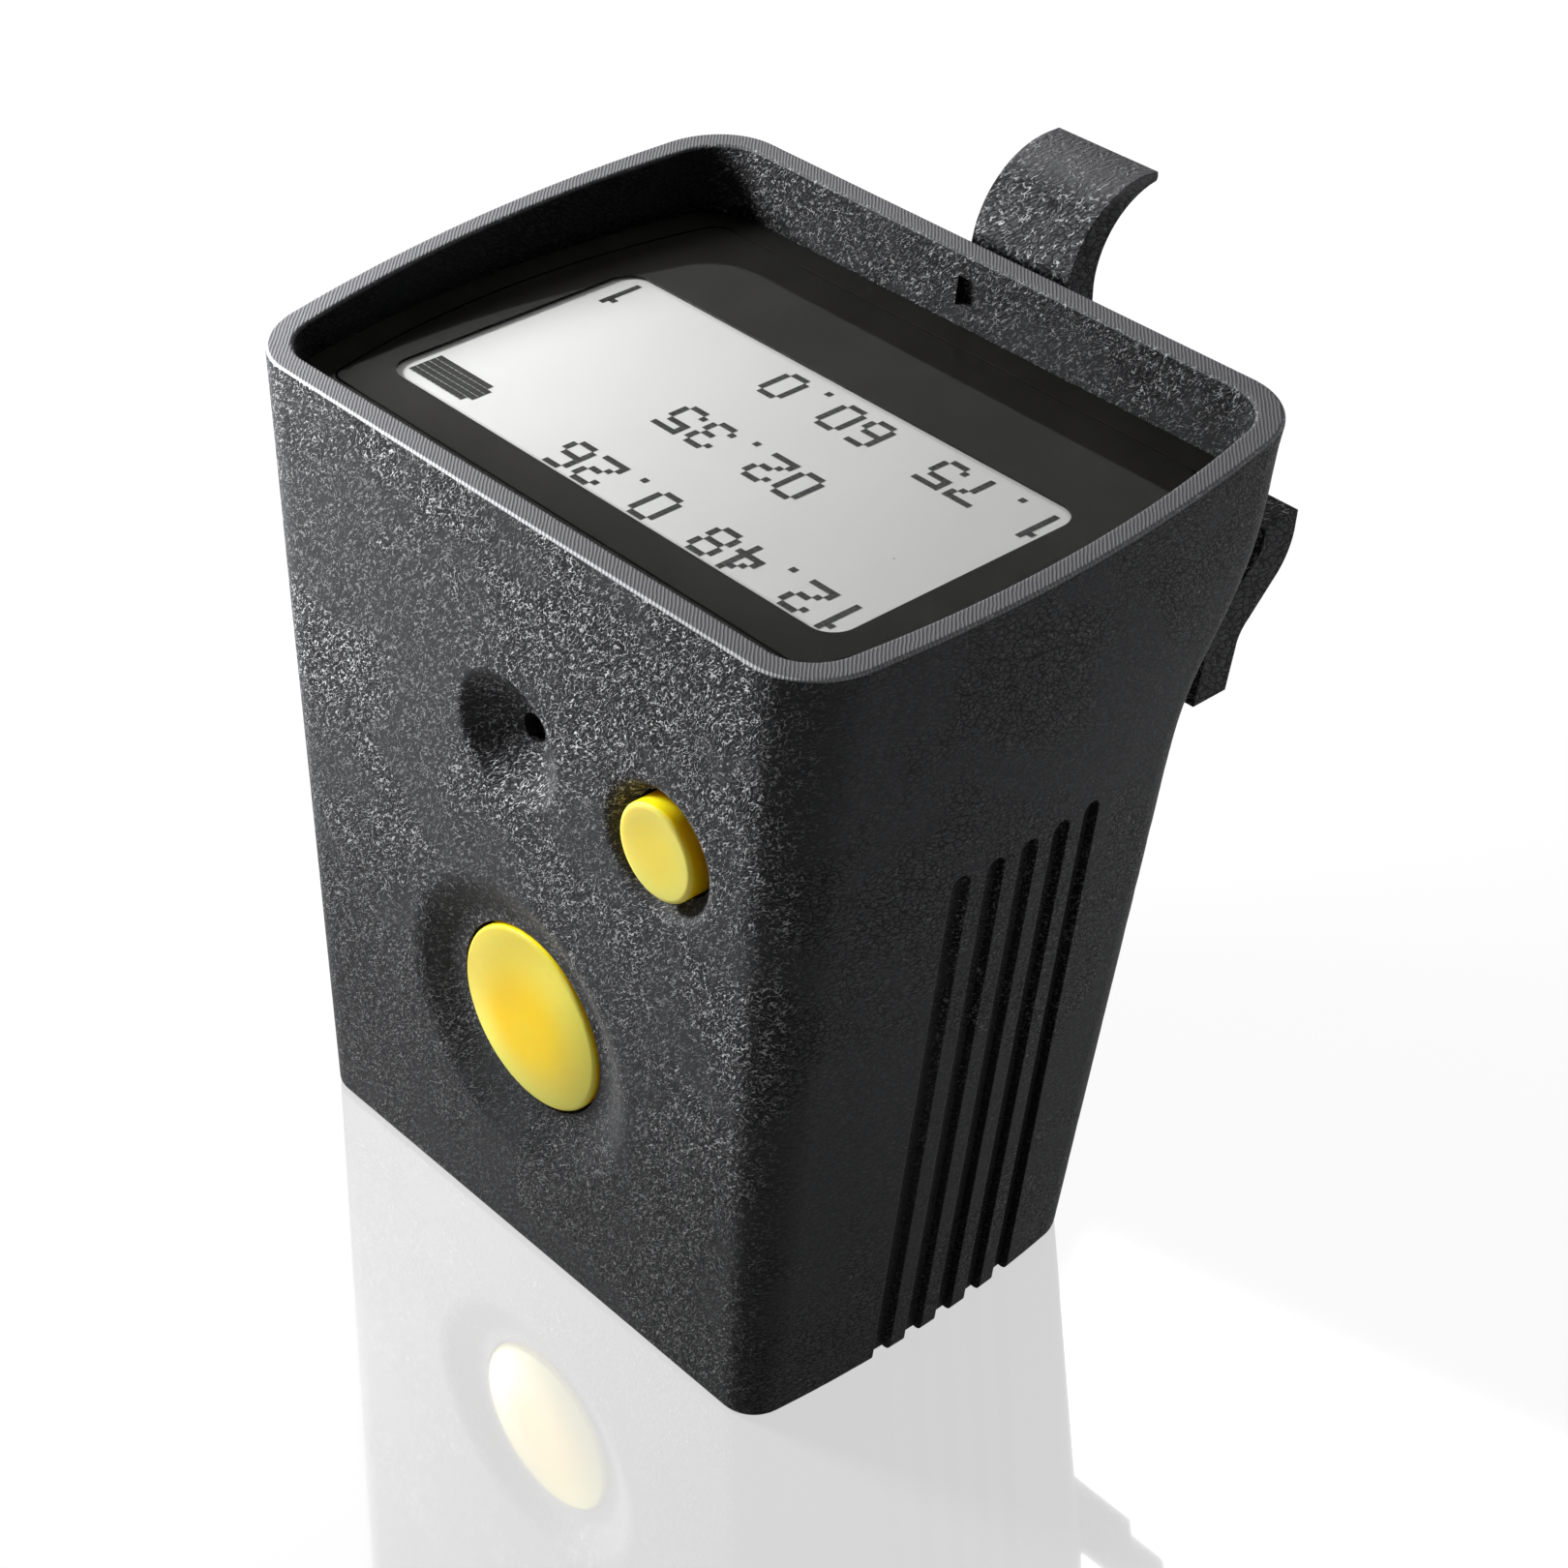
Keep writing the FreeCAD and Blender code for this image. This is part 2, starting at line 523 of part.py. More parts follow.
def turn(body, name, corners):
    """A solid turned round the body's Z axis from half its section."""
    sketch = drawing(body, f"{name}Sketch", "XZ_Plane", "0", [outline(corners)])
    feature = body.newObject("PartDesign::Revolution", name)
    feature.Profile = sketch
    feature.ReferenceAxis = (sketch, ["V_Axis"])
    feature.Angle = 360
    return feature


def loft(body, name, levels, inset, cut=False, ruled=False):
    """A form through the housing's plans at the levels, smooth or with straight stretches."""
    sketches = [drawing(body, f"{name}Section{index}", "XY_Plane", level, [plan(level, inset)])
                for index, level in enumerate(levels)]
    feature = body.newObject("PartDesign::SubtractiveLoft" if cut else "PartDesign::AdditiveLoft", name)
    feature.Profile = sketches[0]
    feature.Sections = sketches[1:]
    feature.Ruled = ruled
    return feature


def even_levels(low, high, steps):
    return [f"({low}) + (({high}) - ({low})) * {index} / {steps}" for index in range(steps + 1)]


def sweep(body, name, path, half_width, thickness):
    """A flat strip of even thickness along a path in the side view."""
    y, z = path[0][:2]
    spine = drawing(body, f"{name}Path", "YZ_Plane", "0", [outline(path, closed=False)])
    section = rectangle(f"-{half_width}", half_width, f"{y} - {thickness} / 2", f"{y} + {thickness} / 2")
    profile = drawing(body, f"{name}Section", "XY_Plane", z, [section])
    document.recompute()
    feature = body.newObject("PartDesign::AdditivePipe", name)
    feature.Profile = profile
    feature.Spine = (spine, [f"Edge{index + 1}" for index in range(len(spine.Shape.Edges))])
    return feature


def round_edges(body, name, feature, radius, wanted):
    """Rounds those edges of the feature that the test wants."""
    document.recompute()
    edges = [f"Edge{index + 1}" for index, edge in enumerate(feature.Shape.Edges) if wanted(edge)]
    rounding = body.newObject("PartDesign::Fillet", name)
    rounding.Base = (feature, edges)
    rounding.Radius = number(radius)
    rounding.setExpression("Radius", tied(radius))
    return rounding


def dish(body, name, x, height, hollow):
    """A hollow in the front face, cut by a sphere, with its lip rounded."""
    radius, depth, lip = f"{hollow}_radius", f"{hollow}_depth", f"{hollow}_edge"
    ball = f"({radius}^2 + {depth}^2) / (2 * {depth})"
    feature = body.newObject("PartDesign::SubtractiveSphere", name)
    feature.Radius = number(ball)
    feature.setExpression("Radius", tied(ball))
    move(feature, x, f"{front_at(height)} + {depth} - {ball}", height)

    def runs_round_it(edge):
        point = edge.valueAt(edge.FirstParameter)
        in_front = abs(point.y - number(front_at(point.z))) < number("wall") / 4
        return in_front and math.hypot(point.x - number(x), point.z - number(height)) < number(radius) * 1.1
    return round_edges(body, f"{name}Lip", feature, lip, runs_round_it)


def pan(body, name, x, height, radius, floor, depth, edge_radius):
    """A flat-bottomed hollow in the front face with a sloping wall, rounded at lip and foot."""
    feature = body.newObject("PartDesign::SubtractiveCone", name)
    sizes = (("Radius1", floor), ("Radius2", f"2 * {radius} - {floor}"), ("Height", f"2 * {depth}"))
    for size, formula in sizes:
        setattr(feature, size, number(formula))
        feature.setExpression(size, tied(formula))
    move(feature, x, f"{front_at(height)} + {depth}", height, toward_front)

    def lip_or_foot(edge):
        points = [edge.valueAt(share) for share in edge.ParameterRange]
        reach = [math.hypot(point.x - number(x), point.z - number(height)) for point in points]
        level = max(reach) - min(reach) < number("wall") / 4 and max(reach) < number(radius) * 1.1
        return level and points[0].y < number(f"{front_at(height)} + 1.1 * {depth}")
    return round_edges(body, f"{name}Rounding", feature, edge_radius, lip_or_foot)


def move(item, x, y, z, rotation=None):
    """Places an item, with its position tied to the dimensions."""
    base = FreeCAD.Vector(number(x), number(y), number(z))
    item.Placement = FreeCAD.Placement(base, rotation or FreeCAD.Rotation())
    for axis, formula in (("x", x), ("y", y), ("z", z)):
        item.setExpression(f"Placement.Base.{axis}", tied(formula))


def block(label, x, y, z):
    """A plain box between the two ends given for each axis."""
    box = document.addObject("Part::Box", label)
    box.Label = label
    for size, (low, high) in (("Length", x), ("Width", y), ("Height", z)):
        setattr(box, size, number(f"({high}) - ({low})"))
        box.setExpression(size, tied(f"({high}) - ({low})"))
    move(box, x[0], y[0], z[0])
    return box


toward_front = FreeCAD.Rotation(FreeCAD.Vector(1, 0, 0), 90)
toward_right = FreeCAD.Rotation(FreeCAD.Vector(0, 1, 0), 90)


def mirrored(x, others):
    """Places at both sides of the middle."""
    return [(f"{sign}({x})", other) for other in others for sign in ("-", "")]


carrier_screws_at = mirrored(carrier_screw_x, carrier_screw_ys)
board_screws_at = mirrored(post_x, post_zs)
cover_screws_at = mirrored(cover_post_x, cover_post_ys)
mount_screws_at = mirrored("mount_screw_side", ["mount_screw_height"])


# Housing: a lofted, moulded shell with the display well, hollows, bosses and grooves

def rim_line(y):
    """Height of the sloped rim at a depth."""
    front = front_at("front_height")
    return f"(front_height + (rear_height - front_height) * (({y}) - {front}) / ({rim_back} - {front}))"


def housing():
    body = new_body("housing_shell")
    loft(body, "OuterForm", even_levels("0", loft_top, 15), "0")
    inside = ["-cut_margin", *even_levels("waist_height", "shoulder_height", 3), ledge_bottom]
    loft(body, "Hollow", inside, "wall", cut=True, ruled=True)
    cut(body, "LedgeOpening", "XY_Plane", f"{ledge_bottom} - cut_margin", f"{ledge_top} + cut_margin",
        [plan(ledge_top, "wall + ledge_width")])
    loft(body, "Well", [ledge_top, f"{loft_top} + cut_margin"], "rim_band", cut=True)
    reach = "base_depth"
    low_y = f"({front_at('front_height')} - {reach})"
    high_y = f"({rim_back} + {reach})"
    slope = outline([(low_y, rim_line(low_y)), (high_y, rim_line(high_y)),
                     (high_y, f"{loft_top} + {reach}"), (low_y, f"{loft_top} + {reach}")])
    trim = cut(body, "RimSlope", "YZ_Plane", "-rim_width", "rim_width", [slope])

    def on_the_rim(edge):
        return all(abs(vertex.Z - number(rim_line(vertex.Y))) < 1e-4 for vertex in edge.Vertexes)
    round_edges(body, "RimRounding", trim, "rim_edge", on_the_rim)
    notch_bottom = f"({window_top} + notch_rise)"
    inner_back = f"({back_at(notch_bottom)} - rim_band)"
    cut(body, "Notch", "XY_Plane", notch_bottom, f"{notch_bottom} + notch_height",
        [rectangle("-notch_half_width", "notch_half_width", f"{inner_back} - cut_margin",
                   f"{inner_back} + notch_depth")])
    extrude(body, "HollowBosses", "XZ_Plane", in_front_wall, seat_face,
            [circle("0", "main_button_height", f"{main_hollow_radius} + main_boss_reach")])
    extrude(body, "SmallBoss", "XZ_Plane", in_front_wall, seat_face,
            [circle("small_button_side", "small_button_height", "small_boss_radius")])
    extrude(body, "MicrophoneBoss", "XZ_Plane", in_front_wall, microphone_face,
            [circle("0", "microphone_height", "microphone_boss_radius")])
    extrude(body, "BoardPosts", "XZ_Plane", in_front_wall, board_front,
            [circle(x, z, "post_radius") for x, z in board_screws_at])
    extrude(body, "CarrierBosses", "XY_Plane", backlight_bottom, f"{ledge_bottom} + ledge_thickness / 3",
            [circle(x, y, "carrier_boss_radius") for x, y in carrier_screws_at])
    extrude(body, "CoverPosts", "XY_Plane", gasket_top, f"{gasket_top} + cover_post_height",
            [circle(x, y, "cover_post_radius") for x, y in cover_screws_at])
    mount_inner = f"({back_at('mount_screw_height')} - wall)"
    extrude(body, "ClipBosses", "XZ_Plane", f"{mount_inner} - mount_boss_depth", f"{mount_inner} + wall / 3",
            [circle(x, z, "mount_boss_radius") for x, z in mount_screws_at])
    rebate = cut(body, "Rebate", "XY_Plane", "-cut_margin", gasket_top, [plan("0", "rebate_wall")])
    document.recompute()
    foot = [face for face in rebate.Shape.Faces if all(abs(vertex.Z) < 1e-6 for vertex in face.Vertexes)][0]
    round_edges(body, "FootRounding", rebate, "base_edge",
                lambda edge: any(edge.isSame(other) for other in foot.OuterWire.Edges))
    pan(body, "MainHollow", "0", "main_button_height", main_hollow_radius, main_hollow_floor,
        "main_hollow_depth", "main_hollow_edge")
    dish(body, "SmallHollow", "small_button_side", "small_button_height", "small_hollow")
    dish(body, "MicrophoneHollow", "0", "microphone_height", "microphone_hollow")
    cut(body, "FrontHoles", "XZ_Plane", "-base_depth / 2 - cut_margin", f"{microphone_face} + cut_margin",
        [circle("0", "main_button_height", "main_button_radius + button_gap"),
         circle("small_button_side", "small_button_height", "small_button_radius + button_gap"),
         circle("0", "microphone_height", "microphone_hole_radius")])
    pilot = "screw_radius + pilot_play"
    cut(body, "BoardPilots", "XZ_Plane", f"{board_front} - screw_length", f"{board_front} + cut_margin",
        [circle(x, z, pilot) for x, z in board_screws_at])
    cut(body, "CarrierPilots", "XY_Plane", f"{backlight_bottom} - cut_margin", ledge_bottom,
        [circle(x, y, pilot) for x, y in carrier_screws_at])
    cut(body, "CoverPilots", "XY_Plane", f"{gasket_top} - cut_margin",
        f"{cover_screw_seat} + cover_screw_length + pilot_spare",
        [circle(x, y, pilot) for x, y in cover_screws_at])
    cut(body, "ClipPilots", "XZ_Plane", f"{mount_inner} - mount_boss_depth / 2", f"{mount_face} + cut_margin",
        [circle(x, z, "mount_screw_radius + pilot_play") for x, z in mount_screws_at])
    body.Visibility = False

    slots = new_body("groove_slots")
    foot = "(-base_depth / 2 + groove_start)"
    top_radius = "groove_width * groove_end_share"
    slot = outline([(f"{foot} - groove_width / 2", "-cut_margin"),
                    (f"{foot} + groove_width / 2", "-cut_margin"),
                    (f"{foot} + groove_width / 2 + groove_lean", "waist_height", top_radius),
                    (f"{foot} - groove_width / 2 + groove_lean", "waist_height", top_radius)])
    first = extrude(slots, "Slot", "YZ_Plane", "-rim_width", "rim_width", [slot])
    document.recompute()
    row = slots.newObject("PartDesign::LinearPattern", "SlotRow")
    row.Originals = [first]
    row.Direction = ([item for item in slots.Origin.OriginFeatures if item.Role == "Y_Axis"][0], [""])
    row.setExpression("Occurrences", tied("groove_count"))
    row.setExpression("Length", tied("groove_pitch * (groove_count - 1)"))
    slots.Tip = row
    core = new_body("groove_core")
    loft(core, "CoreForm", ["-2 * cut_margin", "waist_height + cut_margin"], "groove_depth", ruled=True)
    grooves = document.addObject("Part::Cut", "grooves")
    grooves.Base = slots
    grooves.Tool = core
    shell = document.addObject("Part::Cut", "housing")
    shell.Label = "housing"
    shell.Base = body
    shell.Tool = grooves
    return shell


# Display

def display_window():
    body = new_body("display_window")
    extrude(body, "Plate", "XY_Plane", window_bottom, window_top,
            [plan(window_bottom, "rim_band + window_gap")])
    return body


def view_opening():
    return rectangle(f"-{view_half}", view_half, view_front, view_back, "view_corner")


def window_mask():
    body = new_body("window_mask")
    extrude(body, "Film", "XY_Plane", ledge_top, window_bottom,
            [plan(ledge_top, "wall + ledge_width + film_gap"), view_opening()])
    return body


def window_adhesive():
    body = new_body("window_adhesive")
    extrude(body, "Frame", "XY_Plane", ledge_top, window_bottom,
            [plan(ledge_top, "rim_band + film_gap"), plan(ledge_top, "wall + ledge_width")])
    return body


def display_panel():
    return block("display_panel", (f"-{panel_half}", panel_half), (panel_front, panel_back),
                 (panel_bottom, panel_top))


def display_backlight():
    return block("display_backlight", (f"-{panel_half}", panel_half), (panel_front, panel_back),
                 (backlight_bottom, panel_bottom))


def display_carrier():
    body = new_body("display_carrier")
    wall_in = [f"({panel_front} - panel_gap)", f"({panel_back} + panel_gap)"]
    wall_out = [f"({wall_in[0]} - carrier_wall)", f"({wall_in[1]} + carrier_wall)"]
    extrude(body, "Plate", "XY_Plane", carrier_bottom, backlight_bottom,
            [rectangle(f"-{panel_half}", panel_half, wall_out[0], wall_out[1], "carrier_wall")])
    for index, y in enumerate(carrier_screw_ys):
        reach = f"({carrier_screw_x} + carrier_ear_reach)"
        extrude(body, f"Ears{index}", "XY_Plane", carrier_bottom, backlight_bottom,
                [rectangle(f"-{reach}", reach, f"{y} - carrier_ear", f"{y} + carrier_ear",
                           "carrier_ear_reach")])
    for index in (0, 1):
        low, high = sorted((wall_in[index], wall_out[index]), key=number)
        extrude(body, f"EndWall{index}", "XY_Plane", backlight_bottom, f"{ledge_bottom} - panel_gap",
                [rectangle("-carrier_end_half", "carrier_end_half", low, high)])
    cut(body, "FlexSlot", "XY_Plane", f"{carrier_bottom} - cut_margin", ledge_bottom,
        [rectangle("-flex_width / 2 - panel_gap", "flex_width / 2 + panel_gap",
                   f"{wall_out[0]} - cut_margin", wall_in[0])])
    cut(body, "ScrewHoles", "XY_Plane", f"{carrier_bottom} - cut_margin", f"{backlight_bottom} + cut_margin",
        [circle(x, y, "screw_radius + screw_play") for x, y in carrier_screws_at])
    return body


def display_flex():
    body = new_body("display_flex")
    outer_y = f"({panel_front} - flex_standoff)"
    top = f"({panel_bottom} + panel_thickness / 2)"
    end = f"({board_top} - flex_drop)"
    thin = "flex_thickness"
    ribbon = outline([
        (panel_front, f"{top} + {thin}"), (outer_y, f"{top} + {thin}", f"flex_bend + {thin}"),
        (outer_y, end, f"flex_bend + {thin}"), (board_front, end),
        (board_front, f"{end} + {thin}"), (f"{outer_y} + {thin}", f"{end} + {thin}", "flex_bend"),
        (f"{outer_y} + {thin}", top, "flex_bend"), (panel_front, top)])
    extrude(body, "Ribbon", "YZ_Plane", "-flex_width / 2", "flex_width / 2", [ribbon])
    return body


# Screws, each set one node of separate solids

def screws(label, places, rotation, head, shank):
    """Pan head and shank at each place; head and shank give radius and length."""
    pieces = []
    for index, (x, y, z) in enumerate(places):
        body = new_body(f"{label}_{index + 1}")
        turn(body, "Screw", [("0", f"-{head[1]}"), (head[0], f"-{head[1]}"), (head[0], "0"),
                             (shank[0], "0"), (shank[0], shank[1]), ("0", shank[1])])
        move(body, x, y, z, rotation)
        pieces.append(body)
    group = document.addObject("Part::Compound", label)
    group.Label = label
    group.Links = pieces
    return group


small_head = ("screw_head_radius", "screw_head_height")


def carrier_screws():
    return screws("carrier_screws", [(x, y, carrier_bottom) for x, y in carrier_screws_at],
                  FreeCAD.Rotation(), small_head, ("screw_radius", "carrier_screw_length"))


def board_screws():
    return screws("board_screws", [(x, board_back, z) for x, z in board_screws_at],
                  toward_front, small_head, ("screw_radius", "screw_length"))


def cover_screws():
    return screws("cover_screws", [(x, y, cover_screw_seat) for x, y in cover_screws_at],
                  FreeCAD.Rotation(), small_head, ("screw_radius", "cover_screw_length"))


def clip_screws():
    y = f"{mount_face} - mount_head_height - knuckle_gap"
    return screws("clip_screws", [(x, y, z) for x, z in mount_screws_at], toward_front,
                  ("mount_head_radius", "mount_head_height"),
                  ("mount_screw_radius", "wall + mount_boss_depth / 2"))


# Buttons and switches

def button(label, x, height, radius, flange_reach, face, dome):
    """Turned round its own axis, then laid so that its face points to the front."""
    body = new_body(label)
    seat = f"({plunger_front} - {seat_face} - button_rest_gap)"
    under = f"({seat} - flange_thickness)"
    flange = f"({radius} + {flange_reach})"
    edge = f"({plunger_front} - ({face}))"
    crown = [("0", f"{edge} + {dome}"),
             (f"{radius} * crown_reach", f"{edge} + {dome}", f"{radius} * crown_bend"),
             (radius, edge, "button_edge")] if dome else [("0", edge), (radius, edge, "button_edge")]
    turn(body, "Cap", [("0", "0"), *crown, (radius, seat), (flange, seat), (flange, under),
                       ("stem_radius", under), ("stem_radius", "0")][1:] + [("0", "0")])
    move(body, x, plunger_front, height, toward_front)
    return body


def main_button():
    return button("main_button", "0", "main_button_height", "main_button_radius", "main_flange_reach",
                  f"{front_at('main_button_height')} + main_button_recess", "main_button_dome")


def small_button():
    return button("small_button", "small_button_side", "small_button_height", "small_button_radius",
                  "small_flange_reach", f"{front_at('small_button_height')} - small_button_stand", None)


def switch(label, x, height):
    body = new_body(label)
    half = "switch_width / 2"
    front = f"({board_front} - switch_depth)"
    extrude(body, "Case", "XZ_Plane", front, board_front,
            [rectangle(f"{x} - {half}", f"{x} + {half}", f"{height} - {half}", f"{height} + {half}",
                       "button_edge")])
    cut(body, "Bore", "XZ_Plane", f"{front} - cut_margin", f"{board_front} - switch_floor",
        [circle(x, height, "plunger_radius + plunger_play")])
    return body


def plunger(label, x, height):
    rod = document.addObject("Part::Cylinder", label)
    rod.Label = label
    rod.setExpression("Radius", tied("plunger_radius"))
    rod.setExpression("Height", tied("2 * plunger_reach"))
    move(rod, x, f"{plunger_front} + 2 * plunger_reach", height, toward_front)
    return rod


# Electronics

def microphone():
    rod = document.addObject("Part::Cylinder", "microphone")
    rod.Label = "microphone"
    rod.setExpression("Radius", tied("microphone_radius"))
    rod.setExpression("Height", tied(f"{board_front} - {microphone_face} - boot_lip"))
    move(rod, "0", board_front, "microphone_height", toward_front)
    return rod


def microphone_boot():
    body = new_body("microphone_boot")
    outside = "microphone_radius + boot_wall"
    inside = "microphone_radius + plunger_play"
    turn(body, "Boot", [(inside, "0"), (outside, "0"), (outside, "boot_length"),
                        ("microphone_hole_radius", "boot_length"),
                        ("microphone_hole_radius", "boot_length - boot_lip"),
                        (inside, "boot_length - boot_lip")])
    move(body, "0", f"{microphone_face} + boot_length", "microphone_height", toward_front)
    return body


def main_board():
    body = new_body("main_board")
    extrude(body, "Board", "XZ_Plane", board_front, board_back,
            [rectangle(f"-{board_half}", board_half, board_bottom, board_top, "board_corner")])
    cut(body, "ScrewHoles", "XZ_Plane", f"{board_front} - cut_margin", f"{board_back} + cut_margin",
        [circle(x, z, "screw_radius + screw_play") for x, z in board_screws_at])
    return body


chip_x = f"(-{board_half} / 2)"


def processor():
    low = f"({board_bottom} + processor_rise)"
    return block("processor", (f"{chip_x} - processor_width / 2", f"{chip_x} + processor_width / 2"),
                 (f"{board_front} - processor_thickness", board_front), (low, f"{low} + processor_width"))


def radio_module():
    high = f"({post_zs[1]} - post_radius - tray_gap)"
    return block("radio_module", (f"{chip_x} - radio_width / 2", f"{chip_x} + radio_width / 2"),
                 (f"{board_front} - radio_thickness", board_front), (f"{high} - radio_height", high))


def port_mouth(inset):
    """The charging socket's rounded section, moved in by an inset."""
    return rectangle(f"-port_width / 2 + {inset}", f"port_width / 2 - {inset}", f"{board_back} + {inset}",
                     f"{board_back} + port_depth - {inset}", f"port_corner - {inset}")


def charging_port():
    body = new_body("charging_port")
    extrude(body, "Shell", "XY_Plane", port_bottom, port_top, [port_mouth("0")])
    cut(body, "Mouth", "XY_Plane", f"{port_bottom} - cut_margin", f"{port_top} - port_floor",
        [port_mouth("port_shell")])
    middle = f"({board_back} + port_depth / 2)"
    extrude(body, "Tongue", "XY_Plane", f"{port_bottom} + port_tongue", port_top,
            [rectangle("-port_width / 2 + port_depth / 2", "port_width / 2 - port_depth / 2",
                       f"{middle} - port_tongue / 2", f"{middle} + port_tongue / 2")])
    return body


def battery_tray():
    body = new_body("battery_tray")
    floor = f"({board_back} + tray_wall)"
    extrude(body, "Tray", "XZ_Plane", board_back, f"{floor} + tray_lip",
            [rectangle(f"-{tray_half}", tray_half, tray_bottom, tray_top, "board_corner")])
    cut(body, "Bed", "XZ_Plane", floor, f"{floor} + tray_lip + cut_margin",
        [rectangle(f"-{tray_half} + tray_wall", f"{tray_half} - tray_wall", f"{tray_bottom} + tray_wall",
                   f"{tray_top} - tray_wall")])
    return body


def battery():
    body = new_body("battery")
    start = f"({board_back} + tray_wall)"
    side = "tray_wall + tray_gap"
    extrude(body, "Cell", "XZ_Plane", start, f"{start} + battery_thickness",
            [rectangle(f"-{battery_half}", battery_half, f"{tray_bottom} + {side}", f"{tray_top} - ({side})",
                       "board_corner")])
    return body


def buzzer():
    rod = document.addObject("Part::Cylinder", "buzzer")
    rod.Label = "buzzer"
    rod.setExpression("Radius", tied("buzzer_radius"))
    rod.setExpression("Height", tied("buzzer_height"))
    move(rod, "-buzzer_side", buzzer_y, f"{cover_top} + foam_thickness")
    return rod


def buzzer_gasket():
    body = new_body("buzzer_gasket")
    extrude(body, "Ring", "XY_Plane", cover_top, f"{cover_top} + foam_thickness",
            [circle("-buzzer_side", buzzer_y, "buzzer_radius"),
             circle("-buzzer_side", buzzer_y, "buzzer_radius - foam_width")])
    return body


# Base

def bottom_cover():
    body = new_body("bottom_cover")
    extrude(body, "Plate", "XY_Plane", "0", cover_top, [plan("0", "rebate_wall + cover_gap")])
    below = "-cut_margin"
    above = f"{cover_top} + cut_margin"
    cut(body, "ScrewHoles", "XY_Plane", below, above,
        [circle(x, y, "screw_radius + screw_play") for x, y in cover_screws_at])
    cut(body, "HeadSeats", "XY_Plane", below, cover_screw_seat,
        [circle(x, y, "screw_head_radius + screw_play") for x, y in cover_screws_at])
    cut(body, "PortOpening", "XY_Plane", below, above, [port_mouth("-port_gap")])
    ring = [circle(f"-buzzer_side + sound_ring_radius * cos({60 * index} deg)",
                   f"{buzzer_y} + sound_ring_radius * sin({60 * index} deg)", "sound_hole_radius")
            for index in range(6)]
    cut(body, "SoundHoles", "XY_Plane", below, above,
        [circle("-buzzer_side", buzzer_y, "sound_hole_radius"), *ring])
    return body


def bottom_gasket():
    body = new_body("bottom_gasket")
    extrude(body, "Ring", "XY_Plane", cover_top, gasket_top,
            [plan("0", "rebate_wall + cover_gap"), plan("0", "wall")])
    return body


# Belt clip

def at_back(setback):
    """A depth given from the back of the rim."""
    return f"({rim_back} + ({setback}))"


def along_pin(start, end):
    """The same stretch at both sides of the middle, as start and end along X."""
    return [(start, end), (f"-({end})", f"-({start})")]


def clip_lever():
    body = new_body("clip_lever")
    plate = [(at_back("-plate_foot"), "waist_height - plate_foot_drop"),
             (at_back("-plate_hip"), "waist_height + plate_hip_rise", "plate_hip_radius"),
             (at_back("plate_brow"), "shoulder_height - plate_brow_drop", "plate_brow_radius"),
             (at_back("plate_top"), "shoulder_height - plate_top_drop")]
    sweep(body, "Plate", plate, "plate_half_width", "plate_thickness")
    leaf = [(at_back("-leaf_root"), "waist_height"),
            (at_back("leaf_belly"), "leaf_belly_height", "leaf_belly_radius"),
            (f"{back_at('leaf_heel_height')} + leaf_heel", "leaf_heel_height", "leaf_heel_radius"),
            (f"{back_at('leaf_foot_height')} + leaf_heel + leaf_flare", "leaf_foot_height")]
    sweep(body, "Leaf", leaf, "leaf_half_width", "leaf_thickness")
    top = "(rear_height + tongue_rise)"
    root = "(shoulder_height - plate_top_drop - plate_thickness / 3)"
    tongue = outline([
        (at_back("tongue_outer"), root),
        (at_back("tongue_knee"), f"{top} - tongue_taper", "tongue_outer_radius"),
        (at_back("tongue_tip"), f"{top} - tongue_tip_thickness", "tongue_tip_radius"),
        (at_back("tongue_tip"), top, "tongue_tip_radius"),
        (at_back("tongue_inner"), top, "tongue_inner_radius"), (at_back("tongue_inner"), root)])
    extrude(body, "Tongue", "YZ_Plane", "-tongue_half_width", "tongue_half_width", [tongue])
    cut(body, "SpringRoom", "YZ_Plane", "-knuckle_inner + knuckle_gap", "knuckle_inner - knuckle_gap",
        [circle(pivot_y, pivot_z, "spring_room")])
    lug_room = "(knuckle_radius + lug_clearance)"
    lug_slots = along_pin("knuckle_outer", "knuckle_outer + lug_width + 2 * knuckle_gap")
    for index, (start, end) in enumerate(lug_slots):
        cut(body, f"LugRoom{index}", "YZ_Plane", start, end, [circle(pivot_y, pivot_z, lug_room)])
        cut(body, f"LugPath{index}", "YZ_Plane", start, end,
            [rectangle(f"{pivot_y} - 2 * {lug_room}", f"{pivot_y} + {lug_room}",
                       "waist_height - lug_path_drop", pivot_z)])
    for index, (start, end) in enumerate(along_pin("knuckle_inner", "knuckle_outer")):
        extrude(body, f"Knuckle{index}", "YZ_Plane", start, end, [circle(pivot_y, pivot_z, "knuckle_radius")])
    cut(body, "PinBore", "YZ_Plane", "-plate_half_width - cut_margin", "plate_half_width + cut_margin",
        [circle(pivot_y, pivot_z, "pin_radius + pin_play")])
    return body


